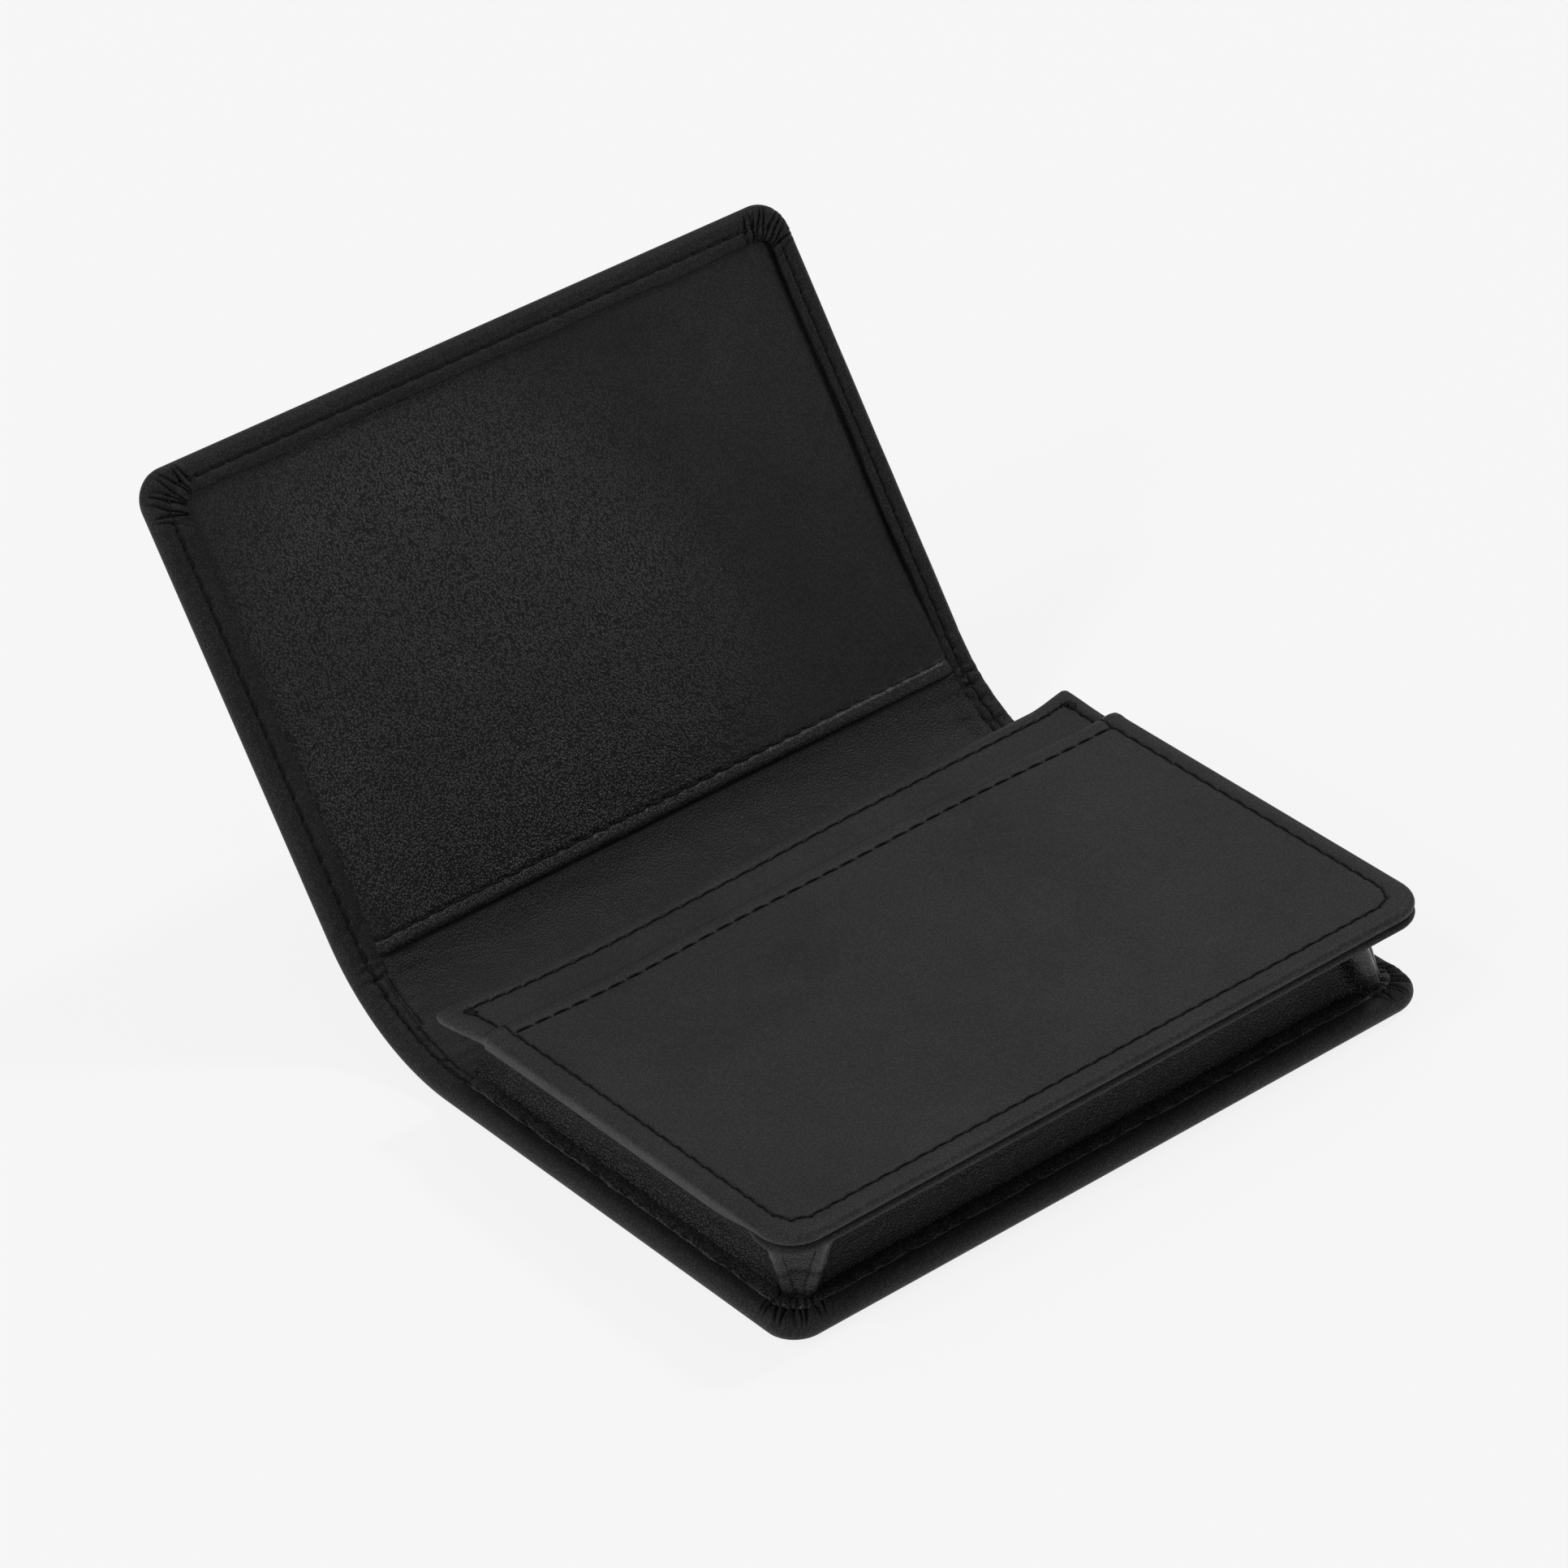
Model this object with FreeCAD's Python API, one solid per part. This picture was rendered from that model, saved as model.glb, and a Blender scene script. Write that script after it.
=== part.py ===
import FreeCAD, Part
import os
from math import atan2, cos, degrees, hypot, pi, radians, sin, tan

# A leather card wallet that folds once.  A flat base carries a card pocket whose raised wall is
# joined to it by a bellows gusset on three sides.  A soft spine joins the base to the cover.
# The frame: X runs along the long side, +Y from the front edge to the spine, +Z up.
# The origin is the centre of the base's underside.  Lengths are millimetres.

# Driving dimensions
WIDTH = 105.0
FLAT_LENGTH = 160.2          # outer leather from the base's front edge to the cover's free edge
BASE_LENGTH = 70.2
SPINE_LENGTH = 20.0
BEND_START = 68.5            # where the outer leather leaves the table, from the front edge
BEND_RADIUS = 28.5           # outer radius of the soft bend, wallet half open
COVER_TILT = 56.6            # degrees between cover and base, wallet half open
CORNER_RADIUS = 4.5
WINDOW_RADIUS = 1.0          # of the corners of a hem's raw inner edge

# Layers of base, spine and cover, as heights above the outer face
LEATHER = 1.0
FOLD_AXIS = 1.0              # the leather bends about the inner face of its outer layer
BOARD_TOP = 1.7
LINING_TOP = 2.3
HEM_TOP = 3.2
HEM_WIDTH = 4.8
EDGE_ROUNDING = 1.2
LAYER_GAP = 0.1              # between a filling layer and the turned edge around it
COVER_BOARD_TOP = 1.4
COVER_LINING_TOP = 1.8
BOARD_START = 2.0            # from the fold to the stiff board

# Pocket panel of the cover
PANEL_START = 1.2            # its folded edge, from the start of the cover's flat
PANEL_EDGE_WIDTH = 5.0
PANEL_EDGE_RISE = 0.5

# Raised wall of the card pocket, its heights measured from the table
WALL_BOTTOM = 13.45
WALL_LINING = 0.6
WALL_BOARD = 0.8
WALL_SKIN = 0.8
WALL_LENGTH = 67.6           # front edge to mouth
SLIP_LENGTH = 58.8           # front edge to the slip pocket's mouth
WALL_WRAP = 0.6              # leather turned down round the rim
RIM_ROUNDING = 0.5

# Gusset, as distances from the base's edge
GUSSET_LEAF = 0.8
GUSSET_FOOT = 5.0
GUSSET_FOLD = 7.5
GUSSET_HEAD = 3.2
GUSSET_LENGTH = 66.0
PLEAT_FOOT = 3.2
PLEAT_HEAD = 6.0
PLEAT_INSET = 2.75           # of the pleat's plane along each side from the corner

# Stitching
STITCH_PITCH = 2.9
STITCH_LENGTH = 2.3
STITCH_WIDTH = 0.5
STITCH_RISE = 0.2
HEM_STITCH = 2.7             # distances of the seams from their edges
RIM_STITCH = 3.2
MOUTH_STITCH = 2.5
PANEL_STITCH = 3.6
BAR_TACK = 2.6
BAR_TACK_WIDTH = 0.9
BAR_TACK_START = 4.4         # of their middles, from the wall's mouth
SEAM_END = 3.0               # from the last stitch to the fold
PANEL_SEAM_END = 1.5

# Clearance cut beside each fold, as half angles from the fold's own normal
CLOSING_HALF = 36.5
OPENING_HALF = 12.0
FOLD_GAP = 0.15
FAR = 8.0                    # beyond every layer's height
TOUCH = 1e-6

HALF = WIDTH / 2
FRONT = -BASE_LENGTH / 2
UP = FreeCAD.Vector(0, 0, 1)
X_AXIS = FreeCAD.Vector(1, 0, 0)


def vec(x, y, z):
    return FreeCAD.Vector(x, y, z)


def box(x0, x1, y0, y1, z0, z1):
    return Part.makeBox(x1 - x0, y1 - y0, z1 - z0, vec(x0, y0, z0))


def plate(x0, x1, y0, y1, z0, z1, radius):
    """A flat plate whose two corners at y1 are rounded."""
    if radius <= 0:
        return box(x0, x1, y0, y1, z0, z1)
    lean = radius * (1 - cos(pi / 4))
    a = vec(x0, y0, z0)
    b = vec(x1, y0, z0)
    c = vec(x1, y1 - radius, z0)
    d = vec(x1 - radius, y1, z0)
    e = vec(x0 + radius, y1, z0)
    f = vec(x0, y1 - radius, z0)
    right = Part.Arc(c, vec(x1 - lean, y1 - lean, z0), d).toShape()
    left = Part.Arc(e, vec(x0 + lean, y1 - lean, z0), f).toShape()
    edges = [Part.makeLine(a, b), Part.makeLine(b, c), right, Part.makeLine(d, e), left, Part.makeLine(f, a)]
    return Part.Face(Part.Wire(edges)).extrude(vec(0, 0, z1 - z0))


def prism(points, x0, x1):
    """A prism along X over an outline of (y, z) points."""
    corners = [vec(x0, y, z) for y, z in points]
    outline = Part.makePolygon(corners + corners[:1])
    return Part.Face(outline).extrude(vec(x1 - x0, 0, 0))


def rim_edges(shape, z, open_y):
    """The level edges of a plate at height z, all but the one along its open side."""
    picked = []
    for edge in shape.Edges:
        bounds = edge.BoundBox
        level = abs(bounds.ZMin - z) < TOUCH and abs(bounds.ZMax - z) < TOUCH
        if level and bounds.YMax > open_y + TOUCH:
            picked.append(edge)
    return picked


def fold_clearance(height, mirror=False):
    """The room that a fold needs on one side of its normal: everything behind a chevron."""
    closing = tan(radians(CLOSING_HALF))
    opening = tan(radians(OPENING_HALF))
    points = [
        (FOLD_GAP, height),
        (FOLD_GAP + (FAR - height) * closing, FAR),
        (-FAR, FAR),
        (-FAR, -FAR),
        (FOLD_GAP + (FAR + height) * opening, -FAR),
    ]
    if mirror:
        points = [(-y, z) for y, z in points]
    return prism(points, -WIDTH, WIDTH)


def hemmed_leather(length):
    """Outer leather of a flat part: it starts at a fold at y 0, and is turned over on three sides."""
    shell = plate(-HALF, HALF, 0, length, 0, HEM_TOP, CORNER_RADIUS)
    shell = shell.makeFillet(EDGE_ROUNDING, rim_edges(shell, 0, 0) + rim_edges(shell, HEM_TOP, 0))
    filling = plate(-HALF + LEATHER, HALF - LEATHER, -1, length - LEATHER, LEATHER, LINING_TOP,
                    CORNER_RADIUS - LEATHER)
    window = plate(-HALF + HEM_WIDTH, HALF - HEM_WIDTH, -1, length - HEM_WIDTH, LINING_TOP, HEM_TOP + 1,
                   WINDOW_RADIUS)
    return shell.cut(filling).cut(window)


def filling_layer(length, z0, z1, start=0.0):
    """A layer that fills the turned edge of a flat part."""
    inset = LEATHER + LAYER_GAP
    return plate(-HALF + inset, HALF - inset, start, length - inset, z0, z1, CORNER_RADIUS - inset)


def stitch(x, y, z, angle, length=STITCH_LENGTH, width=STITCH_WIDTH):
    solid = box(-length / 2, length / 2, -width / 2, width / 2, 0, STITCH_RISE)
    solid.rotate(vec(0, 0, 0), UP, angle)
    solid.translate(vec(x, y, z))
    return solid


def seam(start, end, z):
    """A straight row of stitches from start to end, at height z."""
    run = hypot(end[0] - start[0], end[1] - start[1])
    count = int(run // STITCH_PITCH)
    angle = degrees(atan2(end[1] - start[1], end[0] - start[0]))
    row = []
    for number in range(count):
        share = (number + 0.5) / count
        x = start[0] + (end[0] - start[0]) * share
        y = start[1] + (end[1] - start[1]) * share
        row.append(stitch(x, y, z, angle))
    return row


def three_sided_seam(inset, y0, y1, z):
    """Stitches along the left side, the closed end at y1 and the right side."""
    side = HALF - inset
    end = y1 - inset
    turn = STITCH_PITCH / 2
    row = seam((-side, y0), (-side, end - turn), z)
    row += seam((-side + turn, end), (side - turn, end), z)
    row += seam((side, end - turn), (side, y0), z)
    return Part.makeCompound(row)


def turned(shape, pivot_y):
    """Face a flat part the other way, so that it runs from its fold towards the front."""
    shape = shape.copy()
    shape.rotate(vec(0, 0, 0), UP, 180)
    shape.translate(vec(0, pivot_y, 0))
    return shape


# The soft bend between base and cover
bend_centre = vec(0, FRONT + BEND_START, BEND_RADIUS)
spine_from = (BASE_LENGTH - BEND_START) / BEND_RADIUS
spine_to = spine_from + SPINE_LENGTH / BEND_RADIUS
tilt = radians(COVER_TILT)


def bend_point(angle, height):
    """A point of the bend: angle from straight down, height above the outer face."""
    reach = BEND_RADIUS - height
    return vec(0, bend_centre.y + reach * sin(angle), bend_centre.z - reach * cos(angle))


SPINE_FOLD = bend_point(spine_from, FOLD_AXIS)
COVER_FOLD = bend_point(spine_to, FOLD_AXIS)

# The cover's flat: its own frame has y along the cover from the cover fold, z inward
cover_along = vec(0, cos(tilt), sin(tilt))
cover_inward = vec(0, -sin(tilt), cos(tilt))
bend_end = bend_point(tilt, 0)
cover_start = bend_end + cover_along * (COVER_FOLD - bend_end).dot(cover_along)
cover_fold_height = (COVER_FOLD - cover_start).dot(cover_inward)
cover_length = FLAT_LENGTH - BEND_START - BEND_RADIUS * tilt + (bend_end - cover_start).Length
base_length = SPINE_FOLD.y - FRONT


def on_cover(shape):
    shape = shape.copy()
    shape.rotate(vec(0, 0, 0), X_AXIS, COVER_TILT)
    shape.translate(cover_start)
    return shape


def on_base(shape):
    return turned(shape, SPINE_FOLD.y)


base_cut = fold_clearance(SPINE_FOLD.z)
cover_cut = fold_clearance(cover_fold_height)


# Base
def base_outer_leather():
    return on_base(hemmed_leather(base_length).cut(base_cut))


def base_board():
    return on_base(filling_layer(base_length, LEATHER, BOARD_TOP, start=BOARD_START))


def base_lining():
    return on_base(filling_layer(base_length, BOARD_TOP, LINING_TOP).cut(base_cut))


def base_hem_thread():
    return on_base(three_sided_seam(HEM_STITCH, SEAM_END, base_length, HEM_TOP))


# Spine
def bend_sector(low, high, x0, x1, start=spine_from, end=spine_to):
    """Part of the bend between two heights above its outer face and two angles."""
    middle = (start + end) / 2
    near = [bend_point(angle, low) for angle in (start, middle, end)]
    far = [bend_point(angle, high) for angle in (end, middle, start)]
    edges = [
        Part.Arc(*near).toShape(),
        Part.makeLine(near[2], far[0]),
        Part.Arc(*far).toShape(),
        Part.makeLine(far[2], near[0]),
    ]
    face = Part.Face(Part.Wire(edges))
    face.translate(vec(x0, 0, 0))
    return face.extrude(vec(x1 - x0, 0, 0))


def spine_cut(shape):
    """Clear both of the spine's ends for the two folds."""
    first = fold_clearance(FOLD_AXIS)
    first.rotate(vec(0, 0, 0), X_AXIS, degrees(spine_from))
    first.translate(bend_point(spine_from, 0))
    second = fold_clearance(FOLD_AXIS, mirror=True)
    second.rotate(vec(0, 0, 0), X_AXIS, degrees(spine_to))
    second.translate(bend_point(spine_to, 0))
    return shape.cut(first).cut(second)


def spine_outer_leather():
    shell = bend_sector(0, HEM_TOP, -HALF, HALF)
    ends = [edge for edge in shell.Edges if edge.Curve.TypeId == "Part::GeomCircle"]
    shell = shell.makeFillet(EDGE_ROUNDING, ends)
    filling = bend_sector(LEATHER, LINING_TOP, -HALF + LEATHER, HALF - LEATHER)
    window = bend_sector(LINING_TOP, HEM_TOP, -HALF + HEM_WIDTH, HALF - HEM_WIDTH)
    return spine_cut(shell.cut(filling).cut(window))


def spine_interlining():
    inset = LEATHER + LAYER_GAP
    return spine_cut(bend_sector(LEATHER, BOARD_TOP, -HALF + inset, HALF - inset))


def spine_lining():
    inset = LEATHER + LAYER_GAP
    return spine_cut(bend_sector(BOARD_TOP, LINING_TOP, -HALF + inset, HALF - inset))


def spine_hem_thread():
    """Stitches over the spine's two hems, each following the curve."""
    count = int((SPINE_LENGTH - SEAM_END) // STITCH_PITCH)
    half_turn = STITCH_LENGTH / 2 / (BEND_RADIUS - HEM_TOP)
    row = []
    for number in range(count):
        angle = spine_from + (spine_to - spine_from) * (number + 1) / (count + 1)
        for side in (-1, 1):
            x = side * (HALF - HEM_STITCH)
            row.append(bend_sector(HEM_TOP, HEM_TOP + STITCH_RISE, x - STITCH_WIDTH / 2, x + STITCH_WIDTH / 2,
                                   angle - half_turn, angle + half_turn))
    return Part.makeCompound(row)


# Cover
def cover_outer_leather():
    return on_cover(hemmed_leather(cover_length).cut(cover_cut))


def cover_board():
    return on_cover(filling_layer(cover_length, LEATHER, COVER_BOARD_TOP, start=BOARD_START))


def cover_lining():
    return on_cover(filling_layer(cover_length, COVER_BOARD_TOP, COVER_LINING_TOP).cut(cover_cut))


def cover_pocket_panel():
    """The panel lies under the hem; its folded edge is double and stands proud between the hems."""
    sheet = filling_layer(cover_length, COVER_LINING_TOP, LINING_TOP, start=PANEL_START)
    side = HALF - HEM_WIDTH - LAYER_GAP
    top = LINING_TOP + PANEL_EDGE_RISE
    edge = box(-side, side, PANEL_START, PANEL_START + PANEL_EDGE_WIDTH, LINING_TOP, top)
    return on_cover(sheet.fuse(edge).removeSplitter())


def cover_pocket_thread():
    side = HALF - HEM_WIDTH - PANEL_SEAM_END
    y = PANEL_START + PANEL_STITCH
    return on_cover(Part.makeCompound(seam((-side, y), (side, y), LINING_TOP + PANEL_EDGE_RISE)))


def cover_hem_thread():
    return on_cover(three_sided_seam(HEM_STITCH, SEAM_END, cover_length, HEM_TOP))


# Raised wall: built in the cover's manner, from the mouth at y 0 to the front, then turned round
mouth_step = WALL_LENGTH - SLIP_LENGTH
board_bottom = WALL_BOTTOM + WALL_LINING
face_bottom = board_bottom + WALL_BOARD
slip_bottom = face_bottom + WALL_SKIN
wall_top = slip_bottom + WALL_SKIN


def on_wall(shape):
    return turned(shape, FRONT + WALL_LENGTH)


def wall_plate(inset, y0, z0, z1):
    return plate(-HALF + inset, HALF - inset, y0, WALL_LENGTH - inset, z0, z1, CORNER_RADIUS - inset)


def wall_back_lining():
    return on_wall(wall_plate(WALL_WRAP, WALL_WRAP, WALL_BOTTOM, board_bottom))


def wall_board():
    inset = 2 * WALL_WRAP + LAYER_GAP
    return on_wall(wall_plate(inset, inset, board_bottom, face_bottom))


def wall_face_panel():
    """A thin panel, turned down over the board on all sides, the mouth's edge included."""
    skin = wall_plate(WALL_WRAP, 0, board_bottom, slip_bottom)
    inset = 2 * WALL_WRAP
    hollow = wall_plate(inset, WALL_WRAP, board_bottom, face_bottom)
    return on_wall(skin.cut(hollow))


def slip_pocket_panel():
    """The upper panel, turned down round the rim on three sides and open at its mouth."""
    skin = wall_plate(0, mouth_step, WALL_BOTTOM, wall_top)
    skin = skin.makeFillet(RIM_ROUNDING, rim_edges(skin, wall_top, mouth_step))
    hollow = wall_plate(WALL_WRAP, mouth_step - 1, WALL_BOTTOM, slip_bottom)
    return on_wall(skin.cut(hollow))


def wall_top_thread():
    side = HALF - RIM_STITCH - STITCH_PITCH / 2
    return on_wall(Part.makeCompound(seam((-side, MOUTH_STITCH), (side, MOUTH_STITCH), slip_bottom)))


def slip_pocket_thread():
    side = HALF - RIM_STITCH - STITCH_PITCH / 2
    y = mouth_step + MOUTH_STITCH
    return on_wall(Part.makeCompound(seam((-side, y), (side, y), wall_top)))


def wall_rim_thread():
    return on_wall(three_sided_seam(RIM_STITCH, mouth_step + 1.0, WALL_LENGTH, wall_top))


def bar_tacks():
    """Two short dense bars that hold the pocket's mouth where it pulls hardest."""
    pair = []
    for side in (-1, 1):
        x = side * (HALF - RIM_STITCH)
        pair.append(stitch(x, BAR_TACK_START, slip_bottom, 90, BAR_TACK, BAR_TACK_WIDTH))
    return on_wall(Part.makeCompound(pair))


# Bellows gusset: two leaves that meet in a fold pushed towards the cards
fold_height = (LINING_TOP + WALL_BOTTOM) / 2
mitre_reach = GUSSET_FOLD + 2 * GUSSET_LEAF


def gusset_band(length):
    """A straight run along X, its distances from the base's edge taken along Y."""
    points = [
        (GUSSET_FOOT, LINING_TOP),
        (GUSSET_FOLD, fold_height),
        (GUSSET_HEAD, WALL_BOTTOM),
        (GUSSET_HEAD + GUSSET_LEAF, WALL_BOTTOM),
        (GUSSET_FOLD + GUSSET_LEAF, fold_height),
        (GUSSET_FOOT + GUSSET_LEAF, LINING_TOP),
    ]
    return prism(points, 0, length)


def corner_wedge(corner_x, corner_y):
    """The half of the corner square at the origin on the given corner's side of the diagonal."""
    outline = [vec(0, 0, 0), vec(mitre_reach, mitre_reach, 0), vec(corner_x, corner_y, 0)]
    face = Part.Face(Part.makePolygon(outline + outline[:1]))
    return face.extrude(UP * (WALL_BOTTOM + 1))


def placed(shape, side):
    """Move a shape from the corner at the origin to the front left one, or mirror it to the right."""
    shape = shape.copy()
    shape.translate(vec(-HALF, FRONT, 0))
    if side > 0:
        shape = shape.mirror(vec(0, 0, 0), X_AXIS)
    return shape


def gusset_front():
    wedge = corner_wedge(0, mitre_reach)
    band = gusset_band(WIDTH).cut(wedge)
    band = band.cut(wedge.mirror(vec(HALF, 0, 0), X_AXIS))
    return placed(band, -1)


def gusset_side(side):
    """The left run for side -1 and the right run for side 1, from the front corner to the mouth."""
    band = gusset_band(GUSSET_LENGTH).mirror(vec(0, 0, 0), vec(1, -1, 0))
    return placed(band.cut(corner_wedge(mitre_reach, 0)), side)


def gusset_corner_pleat(side):
    """A flat pleat across the corner, narrow at the hem and wide under the wall."""
    across = vec(1, -1, 0).normalize()
    out = vec(1, 1, 0).normalize()
    centre = vec(PLEAT_INSET, PLEAT_INSET, 0) - out * GUSSET_LEAF
    corners = [
        centre - across * (PLEAT_FOOT / 2) + UP * HEM_TOP,
        centre + across * (PLEAT_FOOT / 2) + UP * HEM_TOP,
        centre + across * (PLEAT_HEAD / 2) + UP * WALL_BOTTOM,
        centre - across * (PLEAT_HEAD / 2) + UP * WALL_BOTTOM,
    ]
    solid = Part.Face(Part.makePolygon(corners + corners[:1])).extrude(out * GUSSET_LEAF)
    return placed(solid, side)


NODES = {
    "base_outer_leather": base_outer_leather,
    "base_board": base_board,
    "base_lining": base_lining,
    "base_hem_thread": base_hem_thread,
    "gusset_front": gusset_front,
    "gusset_left": lambda: gusset_side(-1),
    "gusset_right": lambda: gusset_side(1),
    "gusset_pleat_left": lambda: gusset_corner_pleat(-1),
    "gusset_pleat_right": lambda: gusset_corner_pleat(1),
    "spine_outer_leather": spine_outer_leather,
    "spine_interlining": spine_interlining,
    "spine_lining": spine_lining,
    "spine_hem_thread": spine_hem_thread,
    "cover_outer_leather": cover_outer_leather,
    "cover_board": cover_board,
    "cover_lining": cover_lining,
    "cover_pocket_panel": cover_pocket_panel,
    "cover_pocket_thread": cover_pocket_thread,
    "cover_hem_thread": cover_hem_thread,
    "wall_back_lining": wall_back_lining,
    "wall_board": wall_board,
    "wall_face_panel": wall_face_panel,
    "slip_pocket_panel": slip_pocket_panel,
    "wall_top_thread": wall_top_thread,
    "slip_pocket_thread": slip_pocket_thread,
    "wall_rim_thread": wall_rim_thread,
    "bar_tacks": bar_tacks,
}

os.makedirs("parts", exist_ok=True)
for node, make in NODES.items():
    shape = make()
    shape.exportStep("parts/" + node + ".step")
    bounds = shape.BoundBox
    print(f"{node:22s} solids {len(shape.Solids):3d} valid {shape.isValid()} volume {shape.Volume:9.1f}"
          f"  x {bounds.XMin:6.1f} {bounds.XMax:6.1f}  y {bounds.YMin:6.1f} {bounds.YMax:6.1f}"
          f"  z {bounds.ZMin:6.2f} {bounds.ZMax:6.2f}")
print("spine fold", SPINE_FOLD, "cover fold", COVER_FOLD)
print("cover length", round(cover_length, 2), "base length", round(base_length, 2))
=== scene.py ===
import math

import bmesh
import bpy
import numpy as np
from mathutils import Matrix, Vector


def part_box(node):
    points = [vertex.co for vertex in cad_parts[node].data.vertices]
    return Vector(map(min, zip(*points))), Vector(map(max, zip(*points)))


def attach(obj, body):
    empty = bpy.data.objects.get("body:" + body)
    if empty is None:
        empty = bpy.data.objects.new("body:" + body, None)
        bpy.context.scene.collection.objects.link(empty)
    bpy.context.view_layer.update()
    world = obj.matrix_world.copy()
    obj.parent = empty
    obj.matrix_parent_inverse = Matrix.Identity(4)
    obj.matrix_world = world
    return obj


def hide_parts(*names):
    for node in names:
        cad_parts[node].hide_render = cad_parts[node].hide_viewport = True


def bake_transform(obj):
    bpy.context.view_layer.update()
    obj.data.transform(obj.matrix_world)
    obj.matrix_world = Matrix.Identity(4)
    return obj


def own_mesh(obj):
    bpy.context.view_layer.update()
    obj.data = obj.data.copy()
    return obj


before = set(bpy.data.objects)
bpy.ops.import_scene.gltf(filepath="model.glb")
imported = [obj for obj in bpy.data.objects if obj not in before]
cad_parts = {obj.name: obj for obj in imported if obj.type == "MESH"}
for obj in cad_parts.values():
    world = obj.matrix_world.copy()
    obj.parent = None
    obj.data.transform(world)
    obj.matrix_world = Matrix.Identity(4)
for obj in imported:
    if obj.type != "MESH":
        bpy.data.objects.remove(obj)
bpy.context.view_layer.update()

# A leather card wallet, half open.  The helpers work in millimetres in the row frame:
# X along the long side, +Y from the front edge to the spine, +Z up.  Flat layers are laid out
# as (x, s, h): s runs along the outer face from the base's front edge, h rises above that face.
MM = 0.001


def size_of(node):
    """A CAD node's lowest and highest corner in millimetres."""
    low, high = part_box(node)
    return np.array(low) / MM, np.array(high) / MM


base_low, base_high = size_of("base_outer_leather")
slip_low, slip_high = size_of("slip_pocket_panel")
face_high = size_of("wall_face_panel")[1]
lining_high = size_of("base_lining")[1]

# The flat layout of the outer leather
HALF = base_high[0]
FRONT = base_low[1]
FLAT_LENGTH = 160.2
BEND_START = 68.5
BEND_RADIUS = 28.5
TILT = math.radians(56.6)
BEND_END = BEND_START + BEND_RADIUS * TILT
SPINE_START = 70.2
SPINE_END = 90.2
SPLIT = (SPINE_START + SPINE_END) / 2
CORNER_RADIUS = 4.5

# Layers above the outer face
LEATHER = 1.0
LINING_BOTTOM = 1.72
LINING_INSET = 1.7           # from the outer leather's edge, under the hem
LINING_CREASED = 34.0        # how far from the middle the creases begin
LINING_TOP = lining_high[2]
HEM_TOP = base_high[2]
HEM_WIDTH = 4.8
HEM_ROLL = 1.5
HEM_STITCH = 2.7
PLEAT_WIDTH = 1.3
PLEAT_DEPTH = 0.7
COVER_LINING_TOP = 1.8

# The cover pocket's panel
PANEL_START = 91.5
PANEL_INSET = 1.75
PANEL_RISE = 0.8
PANEL_ROLL = 1.1             # how far in from the folded edge the roll reaches
PANEL_FOLDED = 1.2           # how far in the folded edge's own polish reaches
PANEL_STITCH = 2.4
PANEL_HALF = HALF - HEM_WIDTH - 0.8

# The raised wall, heights above its underside
WALL_BOTTOM = slip_low[2]
WALL_TOP = slip_high[2] - slip_low[2]
WALL_OVERHANG = 0.5
WALL_LENGTH = face_high[1] - FRONT + WALL_OVERHANG
SLIP_LENGTH = slip_high[1] - FRONT + WALL_OVERHANG
SLIP_INNER = 2.0             # above this height the slip pocket is flat, below it wraps the rim
SLIP_MOUTH_ROWS = (0.0, 0.03, 0.1, 0.2, 0.34, 0.5, 0.7, 1.0, 1.5, 1.9, 2.1, 2.25, 2.4, 2.5, 2.6, 2.75,
                   2.9, 3.1, 3.5)
FACE_TOP = 2.15
FACE_INSET = 0.7
FACE_HIDDEN = 7.0            # how much shorter than the wall its face panel is, under the slip pocket
FACE_CORNER_RADIUS = 0.8
WALL_CORNER_RADIUS = 5.0
SIDE_WRAP = 1.75             # how much further the rim's leather reaches down on the sides
WRAP_START = 5.0
WRAP_END = 15.0
RIM_STITCH = 3.0
MOUTH_STITCH = 2.5
MOUTH_EDGE = 0.36            # the slip pocket mouth's black painted edge, also painted shade along that edge

# Stitching
STITCH_PITCH = 2.9
THREAD_RADIUS = 0.15
HEM_THREAD_RADIUS = 0.12
TACK_THREAD_RADIUS = 0.17
THREAD_SUNK = 0.1            # how far a thread's level lies below the surface
STITCH_SLANT = 0.08
SAMPLES_PER_STITCH = 8
CORNER_STITCHES = 2
CORNER_SAMPLES = 60
PANEL_PITCH = 2 * PANEL_HALF / round(2 * PANEL_HALF / STITCH_PITCH)

# Where the rim meets the plain middle of a plate, from its edge
RIM_DEPTH = 8.5
SHEAR_END = 14.0


# ---- shapes in general
def smoothstep(low, high, value):
    t = np.clip((np.asarray(value, float) - low) / (high - low), 0, 1)
    return t * t * (3 - 2 * t)


def bump(value, middle, width):
    """A bell of height 1."""
    return np.exp(-(((value - middle) / width) ** 2))


def waves(t, seed, wavelength):
    """Smooth irregular waves along t, between about -1 and 1."""
    random = np.random.default_rng(seed)
    total = 0
    for _ in range(4):
        length = wavelength * random.uniform(0.5, 1.7)
        total = total + np.sin(2 * np.pi * (t / length + random.random()))
    return total / 2.6


def waves_2d(x, y, seed, wavelength):
    """Smooth irregular waves over a plane, between about -1 and 1."""
    random = np.random.default_rng(seed)
    total = 0
    for _ in range(6):
        length = wavelength * random.uniform(0.5, 1.7)
        angle = random.uniform(0, 2 * np.pi)
        along = x * np.cos(angle) + y * np.sin(angle)
        total = total + np.sin(2 * np.pi * (along / length + random.random()))
    return total / 3.2


def add_object(name, data):
    made = bpy.data.objects.new(name, data)
    bpy.context.scene.collection.objects.link(made)
    return made


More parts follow.
